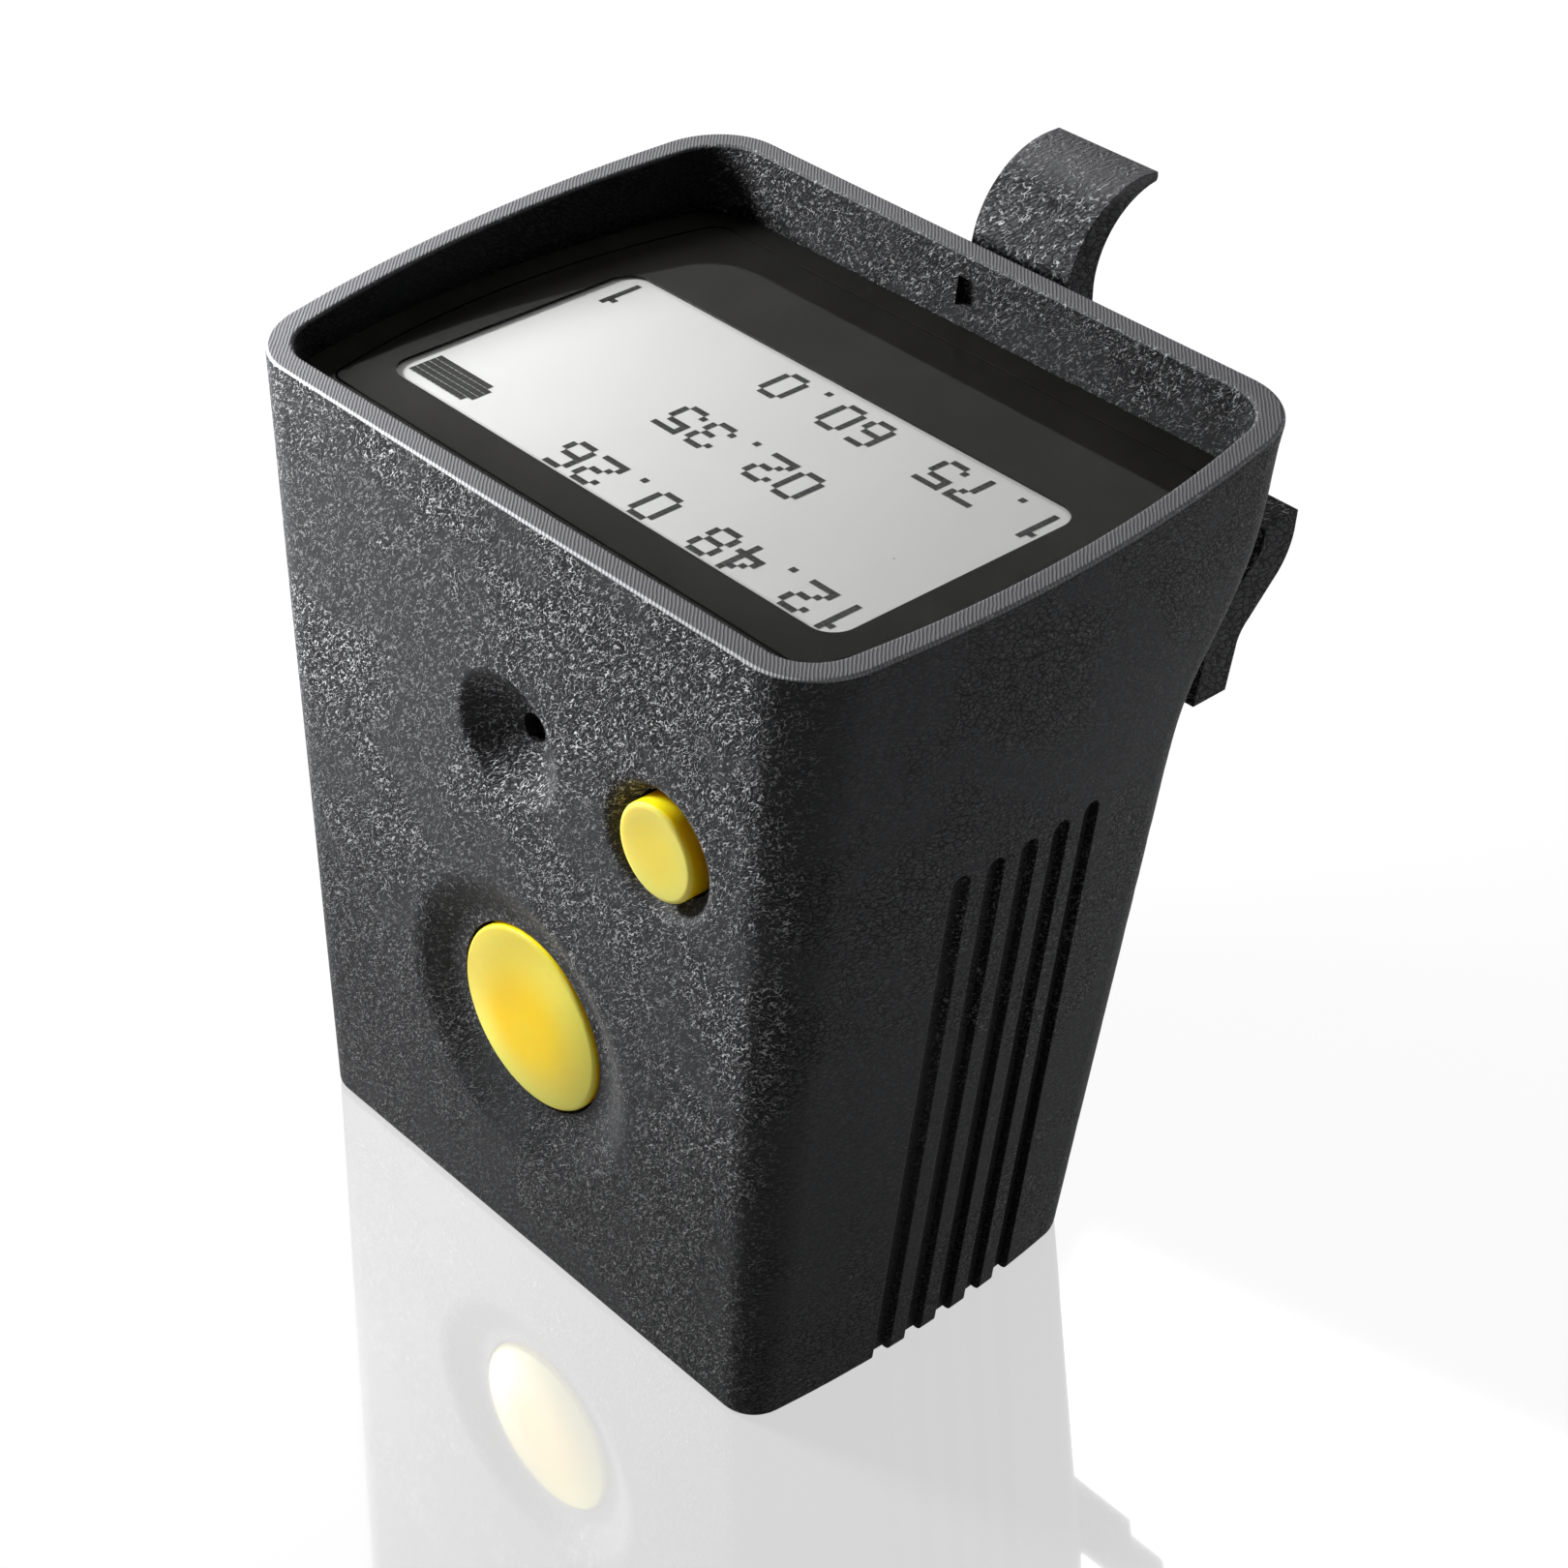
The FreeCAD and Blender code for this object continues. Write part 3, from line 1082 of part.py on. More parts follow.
def clip_base():
    body = new_body("clip_base")
    foot_y = back_at("mount_foot")
    top_y = back_at(mount_top)
    plate = outline([(f"{foot_y} + mount_gap", "mount_foot"), (f"{foot_y} + mount_thickness", "mount_foot"),
                     (f"{top_y} + mount_thickness", mount_top), (f"{top_y} + mount_gap", mount_top)])
    extrude(body, "Plate", "YZ_Plane", "-mount_half_width", "mount_half_width", [plate])
    arm_foot = "(mount_screw_height + mount_head_radius)"
    arm = outline([
        (f"{back_at(arm_foot)} + mount_thickness / 2", arm_foot),
        (f"{pivot_y} + knuckle_radius", "(waist_height - arm_drop)"),
        (f"{pivot_y} + knuckle_radius", pivot_z), (f"{pivot_y} - knuckle_radius", pivot_z),
        (f"{pivot_y} - knuckle_radius", f"{mount_top} - mount_thickness")])
    for index, (start, end) in enumerate(along_pin("knuckle_outer + knuckle_gap",
                                                   "knuckle_outer + knuckle_gap + lug_width")):
        extrude(body, f"Arm{index}", "YZ_Plane", start, end, [arm])
        extrude(body, f"Lug{index}", "YZ_Plane", start, end, [circle(pivot_y, pivot_z, "knuckle_radius")])
    cut(body, "PinHoles", "YZ_Plane", "-mount_half_width - cut_margin", "mount_half_width + cut_margin",
        [circle(pivot_y, pivot_z, "pin_radius + pin_seat_play")])
    cut(body, "ScrewHoles", "XZ_Plane", f"{back_at('mount_screw_height')} - cut_margin",
        f"{mount_face} + cut_margin",
        [circle(x, z, "mount_screw_radius + screw_play") for x, z in mount_screws_at])
    cut(body, "HeadSeats", "XZ_Plane", f"{mount_face} - mount_head_height - knuckle_gap",
        f"{mount_face} + cut_margin",
        [circle(x, z, "mount_head_radius + screw_play") for x, z in mount_screws_at])
    return body


def clip_pin():
    rod = document.addObject("Part::Cylinder", "clip_pin")
    rod.Label = "clip_pin"
    half = "(knuckle_outer + knuckle_gap + lug_width)"
    rod.setExpression("Radius", tied("pin_radius"))
    rod.setExpression("Height", tied(f"2 * {half}"))
    move(rod, f"-{half}", pivot_y, pivot_z, toward_right)
    return rod


def biarc(start, start_way, end, end_way):
    """Two arcs that leave start along start_way and reach end along end_way."""
    gap = end - start
    both = start_way + end_way
    spare = 2 * (1 - start_way.dot(end_way))
    reach = (-gap.dot(both) + math.sqrt(gap.dot(both)**2 + spare * gap.dot(gap))) / spare
    first_tip = start + start_way * reach
    last_tip = end - end_way * reach
    meeting = (first_tip + last_tip) * 0.5
    arcs = []
    for low, tip, high in ((start, first_tip, meeting), (meeting, last_tip, end)):
        bend = (tip - low).getAngle(high - tip)
        weight = math.cos(bend / 2)
        middle = (low + tip * (2 * weight) + high) * (1 / (2 + 2 * weight))
        arcs.append(Part.Arc(low, middle, high).toShape())
    return arcs


def clip_spring():
    """Torsion spring: a coil round the pin, one leg up along the back wall, one along the plate."""
    radius = number("spring_radius")
    half_width = number("spring_half_width")
    leg = number("spring_leg")
    centre = FreeCAD.Vector(0, number(pivot_y), number(pivot_z))
    wall_angle = math.radians(number("spring_wall_angle"))
    plate_angle = math.radians(number("spring_plate_angle"))
    first = math.pi - wall_angle
    last = -plate_angle + 2 * math.pi * number("spring_turns")
    travel = last - first

    def coil(angle):
        x = -half_width + 2 * half_width * (angle - first) / travel
        return centre + FreeCAD.Vector(x, radius * math.cos(angle), radius * math.sin(angle))

    def way(angle):
        slope = 2 * half_width / travel
        return FreeCAD.Vector(slope, -radius * math.sin(angle), radius * math.cos(angle)).normalize()

    steps = math.ceil(travel / math.pi)
    angles = [first + travel * index / steps for index in range(steps + 1)]
    edges = [Part.LineSegment(coil(first) - way(first) * leg, coil(first)).toShape()]
    for low, high in zip(angles, angles[1:]):
        edges += biarc(coil(low), way(low), coil(high), way(high))
    edges.append(Part.LineSegment(coil(last), coil(last) + way(last) * number("spring_plate_leg")).toShape())
    start = edges[0].Vertexes[0].Point
    side = number("spring_wire_half")
    outward = way(first).cross(FreeCAD.Vector(1, 0, 0)).normalize() * side
    sideways = way(first).cross(outward)
    corners = [start + outward * a + sideways * b for a, b in ((-1, -1), (1, -1), (1, 1), (-1, 1), (-1, -1))]
    ring = Part.makePolygon(corners)
    spring = document.addObject("Part::Feature", "clip_spring")
    spring.Label = "clip_spring"
    spring.Shape = Part.Wire(edges).makePipeShell([Part.Wire(ring)], True, False)
    return spring


parts = [
    housing(), display_window(), window_mask(), window_adhesive(), display_panel(), display_backlight(),
    display_carrier(), carrier_screws(), display_flex(), main_button(), small_button(),
    switch("main_switch", "0", "main_button_height"), plunger("main_plunger", "0", "main_button_height"),
    switch("small_switch", "small_button_side", "small_button_height"),
    plunger("small_plunger", "small_button_side", "small_button_height"),
    microphone(), microphone_boot(), main_board(), board_screws(), processor(), radio_module(),
    charging_port(),
    battery_tray(), battery(), buzzer(), buzzer_gasket(), bottom_cover(), bottom_gasket(), cover_screws(),
    clip_base(), clip_screws(), clip_lever(), clip_pin(), clip_spring(),
]
document.recompute()

# Every feature must have worked, and every cut must have taken something away
for item in document.Objects:
    if "Invalid" in item.State or "Error" in item.State:
        raise RuntimeError(f"{item.Name} failed: {item.State}")
    takes_away = item.TypeId.startswith("PartDesign::Subtractive") or item.TypeId == "PartDesign::Pocket"
    if takes_away and item.BaseFeature and item.Shape.Volume > item.BaseFeature.Shape.Volume - 1e-3:
        raise RuntimeError(f"{item.Name} cuts nothing")
for part in parts:
    if part.Shape.isNull() or not part.Shape.isValid():
        raise RuntimeError(f"{part.Label} has no valid shape")

os.makedirs("parts", exist_ok=True)
for part in parts:
    part.Shape.exportStep(f"parts/{part.Label}.step")
    box = part.Shape.BoundBox
    print(f"{part.Label}: {len(part.Shape.Solids)} solid(s), {part.Shape.Volume:.1f} mm3, "
          f"x {box.XMin:.1f} {box.XMax:.1f}, y {box.YMin:.1f} {box.YMax:.1f}, "
          f"z {box.ZMin:.1f} {box.ZMax:.1f}")
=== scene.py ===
import math
import bmesh
import bpy
from mathutils import Matrix, Vector


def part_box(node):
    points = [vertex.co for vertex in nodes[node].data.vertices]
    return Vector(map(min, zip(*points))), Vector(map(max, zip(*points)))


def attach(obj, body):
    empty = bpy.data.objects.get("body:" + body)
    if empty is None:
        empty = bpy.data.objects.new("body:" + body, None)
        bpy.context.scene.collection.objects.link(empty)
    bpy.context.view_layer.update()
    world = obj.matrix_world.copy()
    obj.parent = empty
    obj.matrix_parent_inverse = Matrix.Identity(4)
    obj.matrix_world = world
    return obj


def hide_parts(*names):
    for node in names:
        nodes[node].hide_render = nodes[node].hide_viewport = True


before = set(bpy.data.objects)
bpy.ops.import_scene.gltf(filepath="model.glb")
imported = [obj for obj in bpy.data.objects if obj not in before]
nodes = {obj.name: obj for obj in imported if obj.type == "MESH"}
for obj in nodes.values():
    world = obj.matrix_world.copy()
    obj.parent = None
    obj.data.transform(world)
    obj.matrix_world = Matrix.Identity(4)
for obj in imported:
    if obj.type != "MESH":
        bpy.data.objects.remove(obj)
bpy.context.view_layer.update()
print("frame loaded:", len(nodes), "nodes")

mm = 0.001  # the frame is in metres, the sizes below are in millimetres


# node helpers

def addNode(tree, kind, settings=None, values=None):
    node = tree.nodes.new(kind)
    for key, value in (settings or {}).items():
        setattr(node, key, value)
    for key, value in (values or {}).items():
        node.inputs[key].default_value = value
    return node


def join(tree, *pairs):
    for start, end in pairs:
        tree.links.new(start, end)


def feed(tree, socket, value):
    if isinstance(value, bpy.types.NodeSocket):
        tree.links.new(value, socket)
    elif isinstance(value, (tuple, list)) and socket.type == "RGBA":
        socket.default_value = (*value[:3], 1.0)
    else:
        socket.default_value = value


def doMath(tree, operation, *values):
    node = addNode(tree, "ShaderNodeMath", {"operation": operation})
    for socket, value in zip(node.inputs, values):
        feed(tree, socket, value)
    return node.outputs[0]


def ramp(tree, value, low, high, newLow=0.0, newHigh=1.0):
    node = addNode(tree, "ShaderNodeMapRange", {"interpolation_type": "SMOOTHSTEP"},
                   {"From Min": low, "From Max": high, "To Min": newLow, "To Max": newHigh})
    join(tree, (value, node.inputs["Value"]))
    return node.outputs["Result"]


def blendColours(tree, share, first, second):
    node = addNode(tree, "ShaderNodeMix", {"data_type": "RGBA"})
    for socket, value in ((node.inputs[0], share), (node.inputs[6], first), (node.inputs[7], second)):
        feed(tree, socket, value)
    return node.outputs[2]


def blendValues(tree, share, first, second):
    node = addNode(tree, "ShaderNodeMix", {"data_type": "FLOAT"})
    for socket, value in ((node.inputs[0], share), (node.inputs[2], first), (node.inputs[3], second)):
        feed(tree, socket, value)
    return node.outputs[0]


def noise(tree, place, scale, detail=2.0, distortion=0.0):
    node = addNode(tree, "ShaderNodeTexNoise", None, {"Detail": detail, "Distortion": distortion})
    feed(tree, node.inputs["Scale"], scale)
    join(tree, (place, node.inputs["Vector"]))
    return node


def onPiece(tree):
    return addNode(tree, "ShaderNodeTexCoord").outputs["Object"]


def newGroup(name, inputs, outputs):
    group = bpy.data.node_groups.new(name, "ShaderNodeTree")
    kinds = {"value": "NodeSocketFloat", "vector": "NodeSocketVector", "colour": "NodeSocketColor"}
    for label, kind, start in inputs:
        group.interface.new_socket(label, in_out="INPUT", socket_type=kinds[kind]).default_value = start
    for label, kind in outputs:
        group.interface.new_socket(label, in_out="OUTPUT", socket_type=kinds[kind])
    return group, group.nodes.new("NodeGroupInput").outputs, group.nodes.new("NodeGroupOutput").inputs


def newFinish(name, **settings):
    finish = bpy.data.materials.new(name)
    finish.use_nodes = True
    tree = finish.node_tree
    tree.nodes.clear()
    output = tree.nodes.new("ShaderNodeOutputMaterial")
    shader = tree.nodes.new("ShaderNodeBsdfPrincipled")
    join(tree, (shader.outputs["BSDF"], output.inputs["Surface"]))
    for key, value in settings.items():
        feed(tree, shader.inputs[key.replace("_", " ")], value)
    return finish, tree, shader


def put(tree, group, **values):
    node = tree.nodes.new("ShaderNodeGroup")
    node.node_tree = group
    for key, value in values.items():
        feed(tree, node.inputs[key], value)
    return node.outputs


def addBump(tree, shader, height, depth, base=None):
    node = addNode(tree, "ShaderNodeBump", None, {"Strength": 1.0, "Distance": depth * mm})
    join(tree, (height, node.inputs["Height"]), (node.outputs["Normal"], shader.inputs["Normal"]))
    if base is not None:
        join(tree, (base, node.inputs["Normal"]))


# effects that several materials share

def makeLeatherGrain():  # moulded leather: short ridges, pebbles with gaps, calmer patches
    group, given, result = newGroup(
        "leatherGrain",
        [("Cells", "value", 3000.0), ("Stretch", "vector", (0.5, 0.4, 1.0)),
         ("Slant", "vector", (0.4, 0.75, 0.0)), ("Calm", "value", 0.4)],
        [("Height", "value"), ("Crest", "value"), ("Gap", "value"), ("Patch", "value")])
    place = onPiece(group)
    turned = addNode(group, "ShaderNodeMapping")
    stretched = addNode(group, "ShaderNodeVectorMath", {"operation": "MULTIPLY"})
    join(group, (place, turned.inputs["Vector"]), (given["Slant"], turned.inputs["Rotation"]),
         (turned.outputs[0], stretched.inputs[0]), (given["Stretch"], stretched.inputs[1]))
    drift = noise(group, stretched.outputs[0], 260.0, 2.0)
    centred = addNode(group, "ShaderNodeVectorMath", {"operation": "SUBTRACT"})
    centred.inputs[1].default_value = (0.5, 0.5, 0.5)
    spread = addNode(group, "ShaderNodeVectorMath", {"operation": "SCALE"}, {"Scale": 1.5 * mm})
    warped = addNode(group, "ShaderNodeVectorMath", {"operation": "ADD"})
    join(group, (drift.outputs["Color"], centred.inputs[0]), (centred.outputs[0], spread.inputs[0]),
         (stretched.outputs[0], warped.inputs[0]), (spread.outputs[0], warped.inputs[1]))
    cells = addNode(group, "ShaderNodeTexVoronoi", {"feature": "DISTANCE_TO_EDGE"})
    join(group, (warped.outputs[0], cells.inputs["Vector"]), (given["Cells"], cells.inputs["Scale"]))
    pebble = ramp(group, cells.outputs["Distance"], 0.0, 0.3)
    gap = ramp(group, cells.outputs["Distance"], 0.16, 0.02)
    ridgeNoise = noise(group, warped.outputs[0], doMath(group, "MULTIPLY", given["Cells"], 1.15), 1.0)
    middle = doMath(group, "ABSOLUTE", doMath(group, "SUBTRACT", ridgeNoise.outputs["Fac"], 0.5))
    ridge = ramp(group, middle, 0.052, 0.01)
    breaks = noise(group, warped.outputs[0], doMath(group, "MULTIPLY", given["Cells"], 0.9), 1.0)
    crest = doMath(group, "MULTIPLY", ridge, ramp(group, breaks.outputs["Fac"], 0.4, 0.56))
    fine = noise(group, stretched.outputs[0], doMath(group, "MULTIPLY", given["Cells"], 2.0), 2.0)
    patches = noise(group, place, 85.0, 3.0, 0.6)
    patch = ramp(group, patches.outputs["Fac"], 0.4, 0.6)
    body = doMath(group, "MULTIPLY", crest, 0.6)
    body = doMath(group, "ADD", body, doMath(group, "MULTIPLY", pebble, 0.35))
    body = doMath(group, "ADD", body, doMath(group, "MULTIPLY", fine.outputs["Fac"], 0.2))
    strength = blendValues(group, patch, given["Calm"], 1.0)
    for value, label in ((body, "Height"), (crest, "Crest"), (gap, "Gap")):
        join(group, (doMath(group, "MULTIPLY", value, strength), result[label]))
    join(group, (patch, result["Patch"]))
    return group


def makeMouldTexture():  # fine texture and a slow variation, for plain moulded and cast pieces
    group, given, result = newGroup(
        "mouldTexture", [("Grain", "value", 3000.0), ("Cloud", "value", 120.0)],
        [("Fine", "value"), ("Slow", "value")])
    place = onPiece(group)
    fine = noise(group, place, given["Grain"], 3.0)
    cloud = noise(group, place, given["Cloud"], 3.0, 0.4)
    join(group, (fine.outputs["Fac"], result["Fine"]),
         (ramp(group, cloud.outputs["Fac"], 0.3, 0.7), result["Slow"]))
    return group


def makeSoftEdge():  # finds edges, for corners lighter from rubbing and from painted highlight
    group, given, result = newGroup("softEdge", [("Width", "value", 0.15 * mm)],
                                    [("Normal", "vector"), ("Edge", "value")])
    bevel = addNode(group, "ShaderNodeBevel", {"samples": 4})
    surface = addNode(group, "ShaderNodeNewGeometry")
    dot = addNode(group, "ShaderNodeVectorMath", {"operation": "DOT_PRODUCT"})
    join(group, (given["Width"], bevel.inputs["Radius"]), (bevel.outputs["Normal"], dot.inputs[0]),
         (surface.outputs["Normal"], dot.inputs[1]), (bevel.outputs["Normal"], result["Normal"]),
         (ramp(group, dot.outputs["Value"], 0.99, 0.8), result["Edge"]))
    return group


def makeBrushedLines():  # drawn or turned metal: long fine scratches
    group, given, result = newGroup("brushedLines", [("Stretch", "vector", (400.0, 9000.0, 9000.0))],
                                    [("Lines", "value")])
    stretched = addNode(group, "ShaderNodeVectorMath", {"operation": "MULTIPLY"})
    join(group, (onPiece(group), stretched.inputs[0]), (given["Stretch"], stretched.inputs[1]))
    join(group, (noise(group, stretched.outputs[0], 1.0, 2.0).outputs["Fac"], result["Lines"]))
    return group


leatherGrain = makeLeatherGrain()
mouldTexture = makeMouldTexture()
softEdge = makeSoftEdge()
brushedLines = makeBrushedLines()
print("shared effects built")


# housing and clip: black grained plastic

housingLook = {
    # the light colour is a painted glint on the grain's crests
    "dark": (0.052, 0.053, 0.056), "gap": (0.012, 0.012, 0.013), "light": (0.7, 0.705, 0.72),
    "sideGlint": 0.06, "wellShade": 0.56, "footShade": 0.38, "footHeights": (6.0, 46.0), "footGlint": 0.35,
    "topSheen": (0.14, 0.14, 0.147), "bandStreak": (0.185, 0.185, 0.193), "edgeColour": (0.48, 0.485, 0.5),
    "grainDepth": 0.11, "curlHeights": (73.2, 75.2), "curlHighlight": 0.55,
    "frontHeight": 66.9, "rearHeight": 70.2, "frontDepth": -16.8, "rearDepth": 30.25, "streakPitch": 0.36,
}


def grainedPlastic(name, look, cells=3600.0, calm=0.35):
    finish, tree, shader = newFinish(name, Specular_IOR_Level=0.04)
    grain = put(tree, leatherGrain, Cells=cells, Calm=calm)
    edge = put(tree, softEdge)
    # painted shade: the gaps between the pebbles are darker, as shade in the creases
    colour = blendColours(tree, grain["Gap"], look["dark"], look["gap"])
    # painted shade towards the foot, where less light falls, with fainter painted glints there
    spot = addNode(tree, "ShaderNodeSeparateXYZ")
    join(tree, (onPiece(tree), spot.inputs[0]))
    low, high = [height * mm for height in look["footHeights"]]
    foot = ramp(tree, spot.outputs["Z"], high, low, 0.0, look["footShade"])
    # painted glints: the crests are fainter on the sides, where less light falls
    facing = addNode(tree, "ShaderNodeSeparateXYZ")
    join(tree, (addNode(tree, "ShaderNodeNewGeometry").outputs["Normal"], facing.inputs[0]))
    sideways = ramp(tree, doMath(tree, "ABSOLUTE", facing.outputs["X"]), 0.5, 0.9)
    crest = doMath(tree, "MULTIPLY", grain["Crest"], blendValues(tree, sideways, 1.0, look["sideGlint"]))
    upward = ramp(tree, spot.outputs["Z"], low, high, look["footGlint"], 1.0)
    crest = doMath(tree, "MULTIPLY", crest, upward)
    # painted glints: the crests take the light colour
    colour = blendColours(tree, foot, blendColours(tree, crest, colour, look["light"]), (0.0, 0.0, 0.0))
    # edges lighter: rubbed wear and painted highlight
    colour = blendColours(tree, doMath(tree, "MULTIPLY", edge["Edge"], 0.35), colour, look["topSheen"])
    rough = blendValues(tree, grain["Crest"], 0.6, 0.3)
    return finish, tree, shader, {"grain": grain, "edge": edge, "colour": colour, "rough": rough,
                                  "spot": spot, "facing": facing}


def housingFinish(look):
    finish, tree, shader, base = grainedPlastic("housingGrain", look)
    colour, spot, facing = base["colour"], base["spot"], base["facing"]
    # the sloped rim: how far a point lies under its plane
    slope = (look["rearHeight"] - look["frontHeight"]) / (look["rearDepth"] - look["frontDepth"])
    plane = doMath(tree, "MULTIPLY_ADD", spot.outputs["Y"], slope,
                   (look["frontHeight"] - slope * look["frontDepth"]) * mm)
    below = doMath(tree, "SUBTRACT", plane, spot.outputs["Z"])
    nearTop = ramp(tree, below, 0.4 * mm, 0.3 * mm)
    # painted sheen: the rim's top face, facing up, is lighter
    band = doMath(tree, "MULTIPLY", nearTop, ramp(tree, facing.outputs["Z"], 0.86, 0.96))
    corner = doMath(tree, "MULTIPLY", nearTop, ramp(tree, facing.outputs["Z"], 0.25, 0.5))
    corner = doMath(tree, "MULTIPLY", corner, ramp(tree, facing.outputs["Z"], 0.96, 0.86))
    # painted highlight on the outer edge of the rim, strongest at the front, where the light falls
    outward = doMath(tree, "ADD", doMath(tree, "MULTIPLY", spot.outputs["X"], facing.outputs["X"]),
                     doMath(tree, "MULTIPLY", spot.outputs["Y"], facing.outputs["Y"]))
    edgeHighlight = blendValues(tree, ramp(tree, facing.outputs["Y"], -0.1, -0.5), 0.4, 1.0)
    outer = ramp(tree, outward, -2.0 * mm, 2.0 * mm)
    edgeHighlight = blendValues(tree, outer, 0.15, edgeHighlight)
    # painted shade: the walls of the display well are darker than the outside
    well = ramp(tree, outward, 2.0 * mm, -2.0 * mm, 0.0, look["wellShade"])
    colour = blendColours(tree, well, colour, (0.0, 0.0, 0.0))
    # fine slanting tool marks across the rim
    along = doMath(tree, "MULTIPLY", doMath(tree, "ADD", spot.outputs["X"], spot.outputs["Y"]),
                   2 * math.pi / (look["streakPitch"] * mm))
    wander = noise(tree, onPiece(tree), 900.0, 2.0)
    along = doMath(tree, "ADD", along, doMath(tree, "MULTIPLY", wander.outputs["Fac"], 5.0))
    streak = ramp(tree, doMath(tree, "SINE", along), -0.6, 0.9)
    topSheen = blendColours(tree, streak, look["topSheen"], look["bandStreak"])
    # the rim's top face gets its painted sheen, with tool-mark streaks
    colour = blendColours(tree, band, colour, topSheen)
    colour = blendColours(tree, doMath(tree, "MULTIPLY", corner, edgeHighlight), colour, look["edgeColour"])
    join(tree, (colour, shader.inputs["Base Color"]),
         (blendValues(tree, band, base["rough"], 0.5), shader.inputs["Roughness"]))
    height = blendValues(tree, doMath(tree, "MAXIMUM", band, corner), base["grain"]["Height"],
                         doMath(tree, "MULTIPLY", streak, 0.22))
    addBump(tree, shader, height, look["grainDepth"], base["edge"]["Normal"])
    return finish


def clipFinish(look):
    finish, tree, shader, base = grainedPlastic("clipGrain", look, 2600.0, 1.0)
    # painted highlight: the curl is paler towards its end, where light from above falls
    low, high = [height * mm for height in look["curlHeights"]]
    paintedTop = ramp(tree, base["spot"].outputs["Z"], low, high, 0.0, look["curlHighlight"])
    colour = blendColours(tree, paintedTop, base["colour"], look["bandStreak"])
    join(tree, (colour, shader.inputs["Base Color"]), (base["rough"], shader.inputs["Roughness"]))
    addBump(tree, shader, base["grain"]["Height"], look["grainDepth"] * 1.1, base["edge"]["Normal"])
    return finish


housingGrain = housingFinish(housingLook)
# dimmer painted glints on the clip's crests
clipLook = {**housingLook, "light": (0.38, 0.383, 0.39)}
clipGrain = clipFinish(clipLook)
print("housing and clip finishes built")


# display: clear window, printed mask, light glass with its dots

displayLook = {
    "glassIor": 1.01, "glassRoughness": 0.01, "maskColour": (0.014, 0.0136, 0.0125), "maskShine": 0.06,
    "panelColour": (0.585, 0.587, 0.576), "panelShade": (0.55, 0.553, 0.543), "glow": 0.03,
    "dust": (0.12, 0.12, 0.12), "windowSpecks": {"scale": 110.0, "size": (0.02, 0.012), "rough": 0.35},
    "panelSpecks": {"scale": 160.0, "size": (0.03, 0.018)},
    "dotEdge": (0.012, 0.0125, 0.012), "dotFill": (0.06, 0.063, 0.06), "iconFill": (0.26, 0.275, 0.25),
}


def speckMask(tree, specks):  # a few tiny specks, far apart
    cells = addNode(tree, "ShaderNodeTexVoronoi", None, {"Scale": specks["scale"]})
    join(tree, (onPiece(tree), cells.inputs["Vector"]))
    return ramp(tree, cells.outputs["Distance"], *specks["size"])


def windowFinish(look):
    finish, tree, shader = newFinish("clearWindow", Base_Color=(0.97, 0.975, 0.97), IOR=look["glassIor"],
                                     Transmission_Weight=1.0)
    texture = put(tree, mouldTexture, Grain=1200.0, Cloud=60.0)
    dust = speckMask(tree, look["windowSpecks"])
    rough = blendValues(tree, texture["Slow"], look["glassRoughness"], look["glassRoughness"] * 2)
    join(tree, (blendValues(tree, dust, rough, look["windowSpecks"]["rough"]), shader.inputs["Roughness"]))
    # light from lamps and walls reaches what lies under the window
    clear = addNode(tree, "ShaderNodeBsdfTransparent")
    chooser = addNode(tree, "ShaderNodeMixShader")
    output = [node for node in tree.nodes if node.type == "OUTPUT_MATERIAL"][0]
    path = addNode(tree, "ShaderNodeLightPath").outputs
    join(tree, (doMath(tree, "MAXIMUM", path["Is Shadow Ray"], path["Is Diffuse Ray"]), chooser.inputs[0]),
         (shader.outputs["BSDF"], chooser.inputs[1]), (clear.outputs["BSDF"], chooser.inputs[2]),
         (chooser.outputs[0], output.inputs["Surface"]))
    return finish


def maskFinish(look):
    finish, tree, shader = newFinish("printedMask", Specular_IOR_Level=look["maskShine"])
    texture = put(tree, mouldTexture, Grain=5200.0, Cloud=90.0)
    colour = blendColours(tree, texture["Slow"], look["maskColour"], [c * 1.4 for c in look["maskColour"]])
    join(tree, (colour, shader.inputs["Base Color"]),
         (blendValues(tree, texture["Fine"], 0.03, 0.07), shader.inputs["Roughness"]))
    return finish


def panelFinish(look):
    # painted glow: the panel gives off a faint light of its own colour
    finish, tree, shader = newFinish("displayGlass", Specular_IOR_Level=0.2, Emission_Strength=look["glow"])
    texture = put(tree, mouldTexture, Grain=4000.0, Cloud=45.0)
    colour = blendColours(tree, texture["Slow"], look["panelColour"], look["panelShade"])
    dust = speckMask(tree, look["panelSpecks"])
    colour = blendColours(tree, dust, colour, look["dust"])
    join(tree, (colour, shader.inputs["Base Color"]), (colour, shader.inputs["Emission Color"]),
         (blendValues(tree, texture["Fine"], 0.28, 0.42), shader.inputs["Roughness"]))
    return finish


def dotFinish(name, colour):
    finish, tree, shader = newFinish(name, Specular_IOR_Level=0.2)
    texture = put(tree, mouldTexture, Grain=2600.0, Cloud=500.0)
    colour = blendColours(tree, texture["Slow"], colour, [c * 1.5 for c in colour])
    join(tree, (colour, shader.inputs["Base Color"]),
         (blendValues(tree, texture["Fine"], 0.35, 0.5), shader.inputs["Roughness"]))
    return finish


# small modelling helpers

def clearSelection():
    if bpy.context.object is not None and bpy.context.object.mode != "OBJECT":
        bpy.ops.object.mode_set(mode="OBJECT")
    bpy.ops.object.select_all(action="DESELECT")


